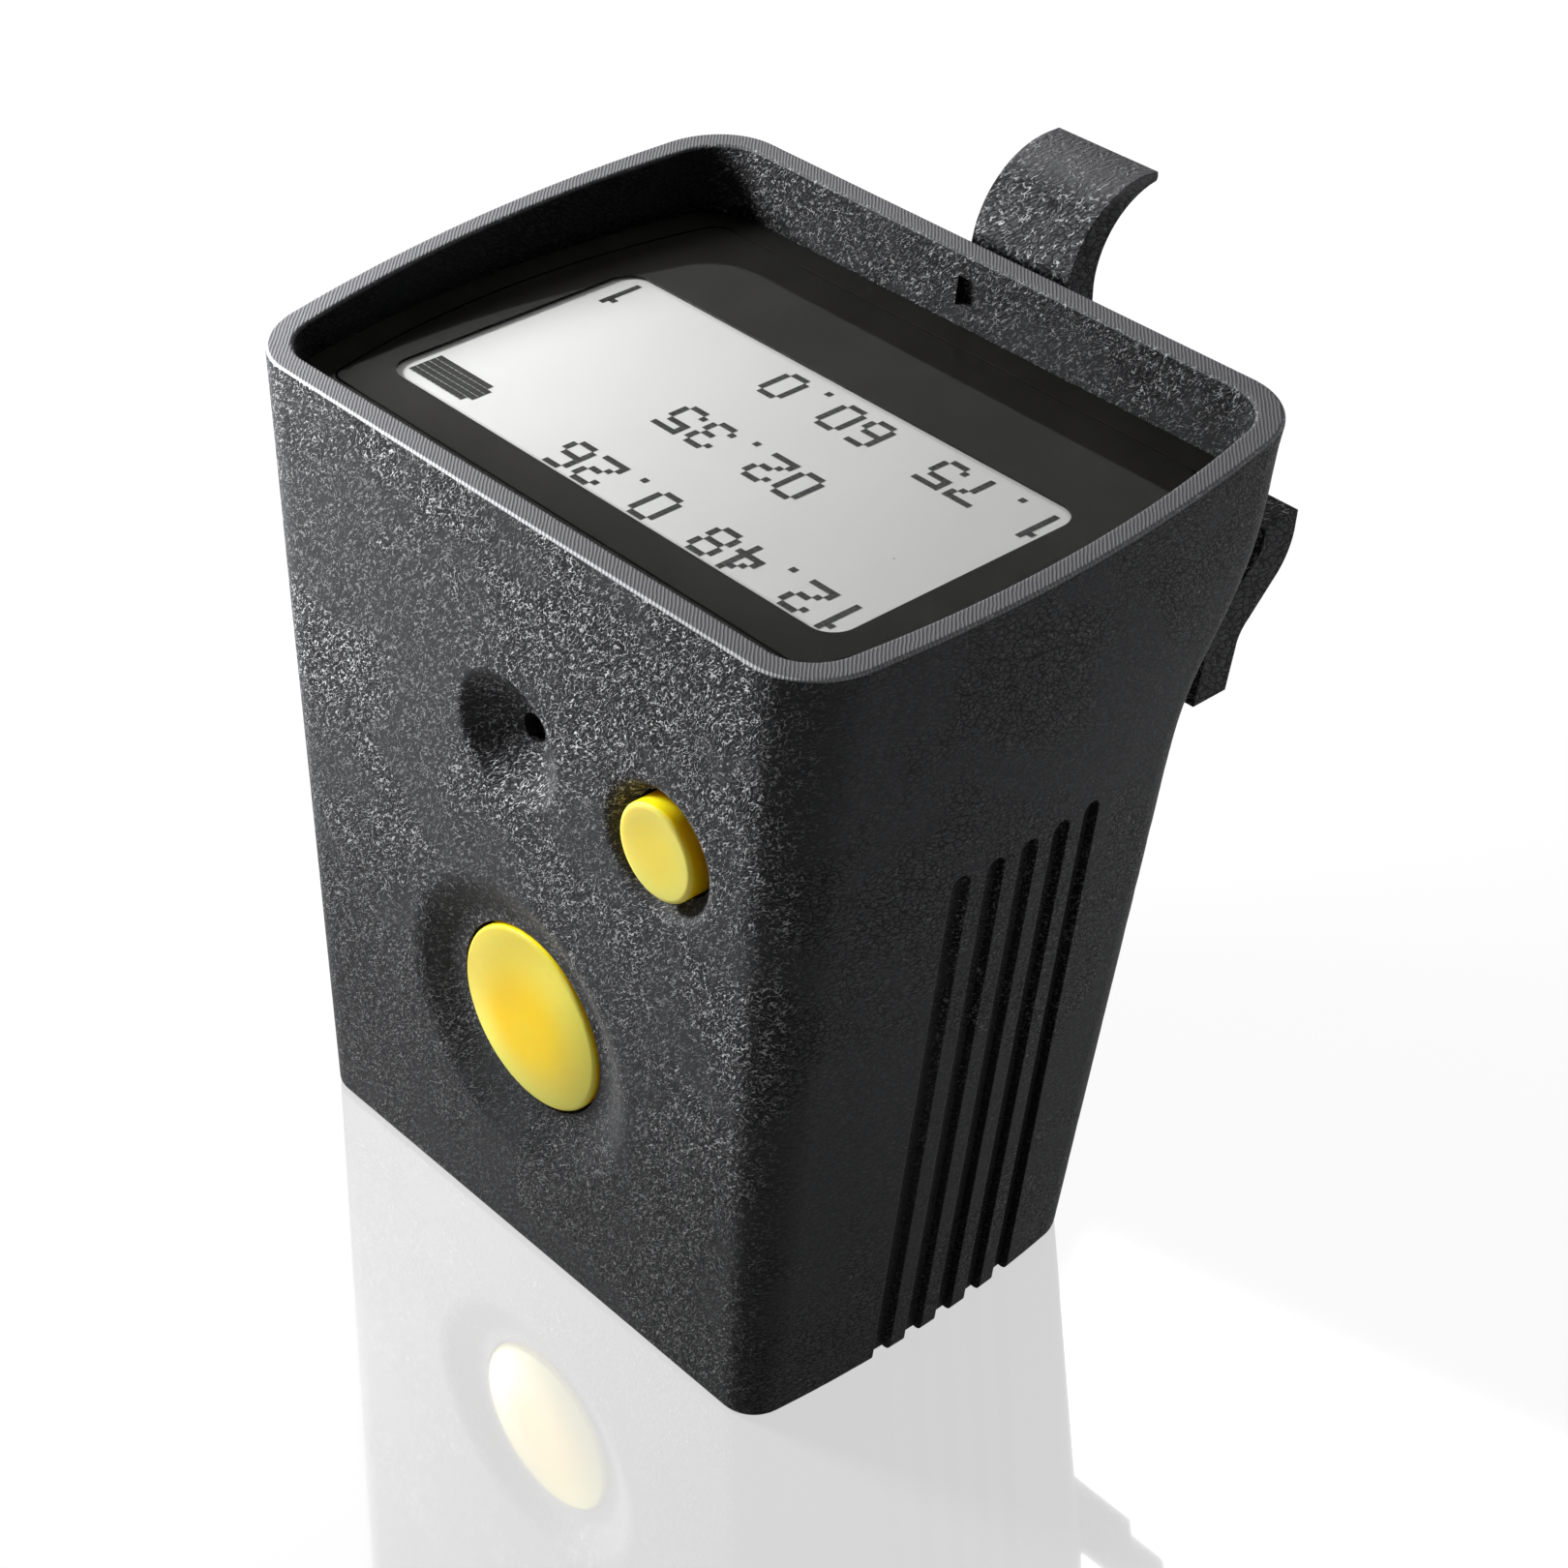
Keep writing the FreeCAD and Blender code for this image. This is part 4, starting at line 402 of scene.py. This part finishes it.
def pickFaces(piece, wanted):
    mesh = bmesh.from_edit_mesh(piece.data)
    for face in mesh.faces:
        face.select_set(False)
    mesh.select_flush(False)
    for face in mesh.faces:
        if wanted(face):
            face.select_set(True)
    bmesh.update_edit_mesh(piece.data)


def pickEdges(piece, wanted):
    mesh = bmesh.from_edit_mesh(piece.data)
    for face in mesh.faces:
        face.select_set(False)
    for edge in mesh.edges:
        edge.select_set(False)
    mesh.select_flush(False)
    for edge in mesh.edges:
        if wanted(edge):
            edge.select_set(True)
    bmesh.update_edit_mesh(piece.data)


def settle(piece, offset=(0, 0, 0), turn=None):  # puts the object's own place and a last shift in its mesh
    matrix = Matrix.Translation(Vector(offset)) @ (turn or Matrix.Identity(4)) @ piece.matrix_basis
    piece.data.transform(matrix)
    piece.matrix_basis = Matrix.Identity(4)
    return piece


def copyPiece(piece, name, matrix):
    twin = piece.copy()
    twin.data = piece.data.copy()
    twin.name = name
    twin.data.name = name
    bpy.context.scene.collection.objects.link(twin)
    twin.data.transform(matrix)
    return twin


def joinPieces(name, pieces):
    clearSelection()
    for piece in pieces:
        piece.select_set(True)
    bpy.context.view_layer.objects.active = pieces[0]
    bpy.ops.object.join()
    pieces[0].name = name
    pieces[0].data.name = name
    return pieces[0]


def drop(piece):
    mesh = piece.data
    bpy.data.objects.remove(piece)
    bpy.data.meshes.remove(mesh)


# dots of the display, plain numbers only; a reader at the back sees them upright

dotPlan = {
    "pitch": (0.5, 0.556), "size": (0.485, 0.54), "height": 0.02, "rim": 0.07, "dish": 0.4,
    "lift": 0.012, "step": 6.1,
    "rows": [("12.48 0.26", 23.1, -8.15), ("02.35", 9.15, 1.05), ("1.75", 23.7, 9.75), ("60.0", 7.2, 9.75),
             ("1", -20.6, 9.95)],
    "icon": {"start": (-22.9, -7.25), "pitch": (0.56, 0.6), "columns": 11, "rows": 5, "share": 1.12},
}

dotShapes = {
    "0": (".###.", "#...#", "#...#", "#...#", "#...#", "#...#", ".###."),
    "1": ("..#..", ".##..", "..#..", "..#..", "..#..", "..#..", "..#.."),
    "2": (".###.", "#...#", "....#", "..##.", ".#...", "#....", "#####"),
    "3": (".###.", "#...#", "....#", "..##.", "....#", "#...#", ".###."),
    "4": ("...#.", "..##.", ".#.#.", "#..#.", "#####", "...#.", "...#."),
    "5": ("#####", "#....", "####.", "....#", "....#", "#...#", ".###."),
    "6": (".###.", "#....", "#....", "####.", "#...#", "#...#", ".###."),
    "7": ("#####", "....#", "...#.", "..#..", "..#..", "..#..", "..#.."),
    "8": (".###.", "#...#", "#...#", ".###.", "#...#", "#...#", ".###."),
    ".": (".....", ".....", ".....", ".....", ".....", ".....", "..#.."),
}


def modelDot(plan, share):
    clearSelection()
    bpy.ops.mesh.primitive_plane_add(size=1.0)
    dot = bpy.context.object
    bpy.ops.object.mode_set(mode="EDIT")
    across, along = [length * mm * share for length in plan["size"]]
    bpy.ops.transform.resize(value=(across, along, 1.0))
    bpy.ops.mesh.extrude_region_move(TRANSFORM_OT_translate={"value": (0, 0, plan["height"] * mm)})
    half = plan["height"] * mm / 2
    pickFaces(dot, lambda face: face.normal.z > 0.9 and face.calc_center_median().z > half)
    bpy.ops.mesh.inset(thickness=plan["rim"] * mm, depth=-plan["height"] * mm * plan["dish"])
    bpy.ops.object.mode_set(mode="OBJECT")
    return dot


def layDots(name, plan, share, edge, fill, spots):
    dot = modelDot(plan, share)
    dot.data.materials.append(edge)
    dot.data.materials.append(fill)
    inner = max(dot.data.polygons, key=lambda face: (face.normal.z > 0.9) * (1 / max(face.area, 1e-12)))
    inner.material_index = 1
    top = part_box("display_panel")[1].z + plan["lift"] * mm
    pieces = [copyPiece(dot, "dot", Matrix.Translation((x * mm, y * mm, top))) for x, y in spots]
    drop(dot)
    dots = joinPieces(name, pieces)
    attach(dots, "case")
    return dots


def modelDisplayDots(plan, look):
    edge = dotFinish("dotEdge", look["dotEdge"])
    fill = dotFinish("dotFill", look["dotFill"])
    iconFill = dotFinish("iconFill", look["iconFill"])
    spots = []
    for text, startX, startY in plan["rows"]:
        for index, sign in enumerate(text):
            for row, line in enumerate(dotShapes.get(sign, ())):
                for column, mark in enumerate(line):
                    if mark == "#":
                        spots.append((startX - (index * plan["step"] + column + 0.5) * plan["pitch"][0],
                                      startY + (row + 0.5) * plan["pitch"][1]))
    numbers = layDots("display_dots", plan, 1.0, edge, fill, spots)
    icon = plan["icon"]
    spots = []
    for column in range(icon["columns"] + 1):
        for row in range(icon["rows"]):
            if column == icon["columns"] and row in (0, icon["rows"] - 1):
                continue  # the battery's narrower end
            spots.append((icon["start"][0] + (column + 0.5) * icon["pitch"][0],
                          icon["start"][1] + (row + 0.5) * icon["pitch"][1]))
    return numbers, layDots("display_battery_icon", plan, icon["share"], edge, iconFill, spots)


glassPlan = {"air": 0.02, "bevel": 0.12}


def modelWindowGlass(plan):  # the window with a fine bevel, just clear of the film under it
    mesh = nodes["display_window"].data.copy()
    glass = bpy.data.objects.new("window_glass", mesh)
    mesh.name = "window_glass"
    bpy.context.scene.collection.objects.link(glass)
    clearSelection()
    glass.select_set(True)
    bpy.context.view_layer.objects.active = glass
    bpy.ops.mesh.customdata_custom_splitnormals_clear()
    bpy.ops.object.mode_set(mode="EDIT")
    bpy.ops.mesh.select_all(action="SELECT")
    bpy.ops.mesh.remove_doubles(threshold=0.001 * mm)
    pickFaces(glass, lambda face: face.normal.z < -0.9)
    bpy.ops.transform.translate(value=(0, 0, plan["air"] * mm))
    pickEdges(glass, lambda edge: sorted(face.normal.z > 0.9 for face in edge.link_faces) == [False, True])
    bpy.ops.mesh.bevel(offset=plan["bevel"] * mm, segments=2, affect="EDGES")
    bpy.ops.object.mode_set(mode="OBJECT")
    bpy.ops.object.shade_smooth_by_angle(angle=math.radians(35))
    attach(glass, "case")
    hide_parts("display_window")
    return glass


clearWindow = windowFinish(displayLook)
windowGlass = modelWindowGlass(glassPlan)
windowGlass.data.materials.clear()
windowGlass.data.materials.append(clearWindow)
printedMask = maskFinish(displayLook)
displayGlass = panelFinish(displayLook)
displayDots, batteryIcon = modelDisplayDots(dotPlan, displayLook)
print("display built:", len(displayDots.data.polygons) + len(batteryIcon.data.polygons), "faces of dots")


# buttons: yellow caps, deeper in the middle, with a painted sheen that makes them paler towards the rim

capLook = {
    "middle": (0.95, 0.63, 0.012), "rim": (0.93, 0.8, 0.14), "smallMiddle": (0.86, 0.7, 0.1),
    "smallRim": (0.84, 0.74, 0.17), "wall": (1.0, 0.74, 0.01), "shade": (0.3, 0.24, 0.03),
    "fade": (0.3, 0.98), "shadeReach": 0.85, "wallFrom": (-0.6, -0.2),
    "large": {"centre": (0.0, 0.0, 21.95), "radius": 7.69, "capShade": 0.7},
    "small": {"centre": (16.18, 0.0, 47.24), "radius": 3.78, "capShade": 0.3},
}


def capFinish(name, look, size, middle, rim):
    finish, tree, shader = newFinish(name, Roughness=0.42, Specular_IOR_Level=0.06, Subsurface_Weight=0.65,
                                     Subsurface_Scale=2.4 * mm, Subsurface_Radius=(1.0, 0.6, 0.15))
    shift = addNode(tree, "ShaderNodeMapping", None, {"Location": [-c * mm for c in size["centre"]]})
    join(tree, (onPiece(tree), shift.inputs["Vector"]))
    spot = addNode(tree, "ShaderNodeSeparateXYZ")
    join(tree, (shift.outputs["Vector"], spot.inputs[0]))
    squares = [doMath(tree, "POWER", spot.outputs[axis], 2.0) for axis in "XZ"]
    reach = doMath(tree, "SQRT", doMath(tree, "ADD", *squares))
    inner, outer = [share * size["radius"] * mm for share in look["fade"]]
    outward = ramp(tree, reach, inner, outer)
    texture = put(tree, mouldTexture, Grain=3800.0, Cloud=150.0)
    # painted sheen: paler towards the rim
    colour = blendColours(tree, outward, middle, rim)
    # painted shade towards the upper left
    slant = doMath(tree, "SUBTRACT", spot.outputs["X"], spot.outputs["Z"])
    slant = doMath(tree, "MULTIPLY", slant, math.sqrt(0.5))
    capShade = ramp(tree, slant, 0.0, -look["shadeReach"] * size["radius"] * mm, 0.0, size["capShade"])
    colour = blendColours(tree, capShade, colour, look["shade"])
    colour = blendColours(tree, doMath(tree, "MULTIPLY", texture["Slow"], 0.08), colour, look["rim"])
    facing = addNode(tree, "ShaderNodeSeparateXYZ")
    join(tree, (addNode(tree, "ShaderNodeNewGeometry").outputs["Normal"], facing.inputs[0]))
    # painted glow: the side wall is a stronger orange, standing in for light passing through the cap
    wall = ramp(tree, facing.outputs["Y"], *look["wallFrom"])
    colour = blendColours(tree, wall, colour, look["wall"])
    join(tree, (colour, shader.inputs["Base Color"]),
         (blendValues(tree, texture["Fine"], 0.36, 0.5), shader.inputs["Roughness"]))
    addBump(tree, shader, texture["Fine"], 0.012)
    return finish


largeCap = capFinish("largeCap", capLook, capLook["large"], capLook["middle"], capLook["rim"])
smallCap = capFinish("smallCap", capLook, capLook["small"], capLook["smallMiddle"], capLook["smallRim"])
print("button finishes built")


# the rest: plain moulded, rubber, metal and board finishes

def mouldedFinish(name, first, second, rough, depth=0.01, grain=3000.0, cloud=120.0, **settings):
    finish, tree, shader = newFinish(name, **settings)
    texture = put(tree, mouldTexture, Grain=grain, Cloud=cloud)
    join(tree, (blendColours(tree, texture["Slow"], first, second), shader.inputs["Base Color"]),
         (blendValues(tree, texture["Fine"], rough[0], rough[1]), shader.inputs["Roughness"]))
    addBump(tree, shader, texture["Fine"], depth)
    return finish


def metalFinish(name, first, second, rough, stretch=(400.0, 9000.0, 9000.0), depth=0.003):
    finish, tree, shader = newFinish(name, Metallic=1.0)
    lines = put(tree, brushedLines, Stretch=stretch)["Lines"]
    texture = put(tree, mouldTexture, Grain=2500.0, Cloud=300.0)
    join(tree, (blendColours(tree, texture["Slow"], first, second), shader.inputs["Base Color"]),
         (blendValues(tree, lines, rough[0], rough[1]), shader.inputs["Roughness"]))
    addBump(tree, shader, lines, depth)
    return finish


def microphoneFinish():  # felt on the front, metal behind
    finish, tree, shader = newFinish("microphoneFelt", Specular_IOR_Level=0.2)
    spot = addNode(tree, "ShaderNodeSeparateXYZ")
    join(tree, (onPiece(tree), spot.inputs[0]))
    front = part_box("microphone")[0].y
    felt = ramp(tree, spot.outputs["Y"], front + 0.12 * mm, front + 0.06 * mm)
    texture = put(tree, mouldTexture, Grain=7000.0, Cloud=900.0)
    cloth = blendColours(tree, texture["Fine"], (0.035, 0.033, 0.006), (0.085, 0.08, 0.022))
    join(tree, (blendColours(tree, felt, (0.55, 0.55, 0.53), cloth), shader.inputs["Base Color"]),
         (blendValues(tree, felt, 0.3, 0.95), shader.inputs["Roughness"]),
         (doMath(tree, "SUBTRACT", 1.0, felt), shader.inputs["Metallic"]))
    addBump(tree, shader, texture["Fine"], 0.05)
    return finish


def boardFinish():  # solder mask over traces, with tinned pads
    finish, tree, shader = newFinish("boardMask", Specular_IOR_Level=0.5)
    place = onPiece(tree)
    bricks = addNode(tree, "ShaderNodeTexBrick", {"offset": 0.5, "squash": 1.0},
                     {"Scale": 260.0, "Mortar Size": 0.06, "Mortar Smooth": 0.1, "Color1": (0, 0, 0, 1),
                      "Color2": (0.25, 0.25, 0.25, 1), "Mortar": (1, 1, 1, 1)})
    turned = addNode(tree, "ShaderNodeMapping", None, {"Rotation": (math.pi / 2, 0.0, 0.0)})
    join(tree, (place, turned.inputs["Vector"]), (turned.outputs["Vector"], bricks.inputs["Vector"]))
    dots = addNode(tree, "ShaderNodeTexVoronoi", {"distance": "CHEBYCHEV"},
                   {"Scale": 420.0, "Randomness": 0.55})
    join(tree, (place, dots.inputs["Vector"]))
    pads = ramp(tree, dots.outputs["Distance"], 0.13, 0.11)
    track = doMath(tree, "MULTIPLY", bricks.outputs["Fac"], 0.8)
    colour = blendColours(tree, track, (0.004, 0.05, 0.02), (0.01, 0.11, 0.045))
    colour = blendColours(tree, pads, colour, (0.62, 0.6, 0.55))
    join(tree, (colour, shader.inputs["Base Color"]),
         (blendValues(tree, pads, 0.38, 0.3), shader.inputs["Roughness"]), (pads, shader.inputs["Metallic"]))
    addBump(tree, shader, doMath(tree, "MAXIMUM", track, pads), 0.03)
    return finish


def ribbonFinish():  # amber film with copper lines
    finish, tree, shader = newFinish("ribbonFilm", Specular_IOR_Level=0.5)
    spot = addNode(tree, "ShaderNodeSeparateXYZ")
    join(tree, (onPiece(tree), spot.inputs[0]))
    wave = doMath(tree, "SINE", doMath(tree, "MULTIPLY", spot.outputs["X"], 2 * math.pi / (0.5 * mm)))
    line = ramp(tree, wave, 0.0, 0.3)
    texture = put(tree, mouldTexture, Grain=2600.0, Cloud=200.0)
    film = blendColours(tree, texture["Slow"], (0.3, 0.1, 0.01), (0.42, 0.16, 0.02))
    join(tree, (blendColours(tree, line, film, (0.6, 0.28, 0.1)), shader.inputs["Base Color"]),
         (blendValues(tree, line, 0.35, 0.22), shader.inputs["Roughness"]),
         (doMath(tree, "MULTIPLY", line, 0.6), shader.inputs["Metallic"]))
    addBump(tree, shader, line, 0.01)
    return finish


def foamFinish():
    finish, tree, shader = newFinish("foamRing", Specular_IOR_Level=0.15)
    pores = addNode(tree, "ShaderNodeTexVoronoi", None, {"Scale": 3800.0})
    join(tree, (onPiece(tree), pores.inputs["Vector"]))
    pore = ramp(tree, pores.outputs["Distance"], 0.15, 0.5)
    colour = blendColours(tree, pore, (0.03, 0.03, 0.032), (0.16, 0.16, 0.165))
    join(tree, (colour, shader.inputs["Base Color"]),
         (blendValues(tree, pore, 0.95, 0.85), shader.inputs["Roughness"]))
    addBump(tree, shader, pore, 0.08)
    return finish


def coverFinish(look):  # the base plate: finer spark texture than the housing
    finish, tree, shader, base = grainedPlastic("coverTexture", look, 5200.0, 0.9)
    join(tree, (base["colour"], shader.inputs["Base Color"]), (base["rough"], shader.inputs["Roughness"]))
    addBump(tree, shader, base["grain"]["Height"], 0.03, base["edge"]["Normal"])
    return finish


innerBlack = mouldedFinish("innerPlastic", (0.018, 0.018, 0.019), (0.03, 0.03, 0.032), (0.5, 0.65), 0.02)
steelScrew = metalFinish("screwSteel", (0.3, 0.3, 0.31), (0.42, 0.42, 0.43), (0.25, 0.5))
finishes = {
    "housing": housingGrain,
    "bottom_cover": coverFinish(housingLook),
    "display_window": clearWindow,
    "window_mask": printedMask,
    "window_adhesive": printedMask,
    "display_panel": displayGlass,
    "display_backlight": mouldedFinish("lightGuide", (0.78, 0.79, 0.8), (0.7, 0.72, 0.74), (0.15, 0.3), 0.01,
                                       5200.0, 90.0, Transmission_Weight=0.35, IOR=1.45),
    "display_carrier": innerBlack,
    "battery_tray": innerBlack,
    "display_flex": ribbonFinish(),
    "main_button": largeCap,
    "small_button": smallCap,
    "main_switch": mouldedFinish("switchCase", (0.03, 0.03, 0.032), (0.05, 0.05, 0.052), (0.35, 0.5), 0.01),
    "main_plunger": mouldedFinish("plungerTip", (0.5, 0.49, 0.45), (0.6, 0.59, 0.55), (0.4, 0.5), 0.01),
    "microphone": microphoneFinish(),
    "microphone_boot": mouldedFinish("bootRubber", (0.012, 0.012, 0.012), (0.022, 0.022, 0.022),
                                     (0.75, 0.95), 0.02),
    "main_board": boardFinish(),
    "processor": mouldedFinish("chipResin", (0.016, 0.016, 0.017), (0.028, 0.028, 0.03),
                               (0.45, 0.7), 0.02, 6000.0),
    "radio_module": metalFinish("shieldCan", (0.5, 0.5, 0.48), (0.62, 0.62, 0.6), (0.25, 0.42)),
    "charging_port": metalFinish("portShell", (0.55, 0.55, 0.54), (0.66, 0.66, 0.65), (0.2, 0.35)),
    "battery": metalFinish("cellPouch", (0.6, 0.6, 0.62), (0.72, 0.72, 0.74), (0.28, 0.5),
                           (1500.0, 900.0, 1500.0), 0.06),
    "buzzer": mouldedFinish("buzzerCase", (0.014, 0.014, 0.015), (0.026, 0.026, 0.028), (0.4, 0.6), 0.01),
    "buzzer_gasket": foamFinish(),
    "clip_base": clipGrain,
    "clip_lever": clipGrain,
    "clip_pin": metalFinish("pinSteel", (0.5, 0.5, 0.5), (0.6, 0.6, 0.6), (0.15, 0.35)),
    "cover_screws": steelScrew,
}
sameAs = {"small_switch": "main_switch", "small_plunger": "main_plunger", "bottom_gasket": "microphone_boot",
          "clip_spring": "clip_pin", "board_screws": "cover_screws", "carrier_screws": "cover_screws",
          "clip_screws": "cover_screws"}
for name, node in nodes.items():
    finish = finishes[sameAs.get(name, name)]
    for slot in node.material_slots:
        slot.material = finish
print("finishes on", len(nodes), "nodes")


# stage, lamps and camera

stageLook = {
    "size": 4.0, "drop": 0.02, "floorColour": (0.07, 0.07, 0.07), "floorRoughness": 0.05, "floorIor": 2.32,
    "lift": 0.63, "skyLight": 0.02, "aim": (0.0, 5.0, 35.0),
    "lamps": {
        "keySoftbox": {"azimuth": -58, "elevation": 30, "distance": 0.15, "size": (0.035, 0.035),
                       "power": 0.52},
        "backSoftbox": {"azimuth": 195, "elevation": 60, "distance": 0.6, "size": (0.35, 0.35),
                        "power": 0.8},
        "sideStrip": {"azimuth": 130, "elevation": 1, "distance": 0.6, "size": (0.3, 0.05),
                      "power": 0.7},
    },
}
photoView = {"spot": (150.2, -129.34, 179.24), "azimuth": 47.24, "elevation": 35.82, "roll": 1.07,
             "focal": 3371.8, "image": 1620, "sensor": 36.0}


def backVector(azimuth, elevation):
    turn, rise = math.radians(azimuth), math.radians(elevation)
    return Vector((math.sin(turn) * math.cos(rise), -math.cos(turn) * math.cos(rise), math.sin(rise)))


def seenShare(tree):  # rays that the camera follows straight, by a mirror or through glass
    path = addNode(tree, "ShaderNodeLightPath").outputs
    return doMath(tree, "MAXIMUM", path["Is Camera Ray"],
                  doMath(tree, "MAXIMUM", path["Is Glossy Ray"], path["Is Transmission Ray"]))


def buildFloor(look):
    clearSelection()
    bpy.ops.mesh.primitive_plane_add(size=look["size"], location=(0, 0, -look["drop"] * mm))
    floor = settle(bpy.context.object)
    floor.name = "studio_floor"
    finish, tree, shader = newFinish("floorGloss", IOR=look["floorIor"], Coat_Weight=1.0,
                                     Coat_IOR=look["floorIor"])
    texture = put(tree, mouldTexture, Grain=30.0, Cloud=3.0)
    paler = [c * 1.01 for c in look["floorColour"]]
    join(tree, (blendColours(tree, texture["Slow"], look["floorColour"], paler), shader.inputs["Base Color"]),
         (blendValues(tree, texture["Slow"], look["floorRoughness"], look["floorRoughness"] * 1.1),
          shader.inputs["Roughness"]))
    glow = addNode(tree, "ShaderNodeEmission", None, {"Color": (1, 1, 1, 1)})
    total = addNode(tree, "ShaderNodeAddShader")
    output = [node for node in tree.nodes if node.type == "OUTPUT_MATERIAL"][0]
    join(tree, (doMath(tree, "MULTIPLY", seenShare(tree), look["lift"]), glow.inputs["Strength"]),
         (shader.outputs["BSDF"], total.inputs[0]), (glow.outputs[0], total.inputs[1]),
         (total.outputs[0], output.inputs["Surface"]))
    floor.data.materials.append(finish)


def buildSky(look):
    world = bpy.data.worlds.new("studioSky")
    bpy.context.scene.world = world
    world.use_nodes = True
    tree = world.node_tree
    tree.nodes.clear()
    lit = addNode(tree, "ShaderNodeBackground", None, {"Color": (1, 1, 1, 1), "Strength": look["skyLight"]})
    seen = addNode(tree, "ShaderNodeBackground", None, {"Color": (1, 1, 1, 1), "Strength": 1.0})
    chooser = addNode(tree, "ShaderNodeMixShader")
    output = addNode(tree, "ShaderNodeOutputWorld")
    join(tree, (seenShare(tree), chooser.inputs[0]), (lit.outputs[0], chooser.inputs[1]),
         (seen.outputs[0], chooser.inputs[2]), (chooser.outputs[0], output.inputs["Surface"]))


def addLamp(name, lamp, aim):
    light = bpy.data.lights.new(name, "AREA")
    light.shape = "RECTANGLE"
    light.size, light.size_y = lamp["size"]
    light.energy = lamp["power"]
    holder = bpy.data.objects.new(name, light)
    bpy.context.scene.collection.objects.link(holder)
    back = backVector(lamp["azimuth"], lamp["elevation"])
    holder.location = Vector(aim) * mm + back * lamp["distance"]
    holder.rotation_mode = "QUATERNION"
    holder.rotation_quaternion = (-back).to_track_quat("-Z", "Y")


def addCamera(view):
    data = bpy.data.cameras.new("photoCamera")
    data.sensor_width = view["sensor"]
    data.lens = view["focal"] / view["image"] * view["sensor"]
    data.clip_start, data.clip_end = 0.01, 20.0
    camera = bpy.data.objects.new("photoCamera", data)
    bpy.context.scene.collection.objects.link(camera)
    back = backVector(view["azimuth"], view["elevation"])
    right = Vector((math.cos(math.radians(view["azimuth"])), math.sin(math.radians(view["azimuth"])), 0.0))
    up = back.cross(right)
    roll = math.radians(view["roll"])
    sideways = math.cos(roll) * right + math.sin(roll) * up
    upward = -math.sin(roll) * right + math.cos(roll) * up
    turn = Matrix((sideways, upward, back)).transposed().to_4x4()
    camera.matrix_world = Matrix.Translation(Vector(view["spot"]) * mm) @ turn
    bpy.context.scene.camera = camera


buildFloor(stageLook)
buildSky(stageLook)
for name, lamp in stageLook["lamps"].items():
    addLamp(name, lamp, stageLook["aim"])
addCamera(photoView)
bpy.context.scene.view_settings.view_transform = "Standard"
print("stage, lamps and camera set")
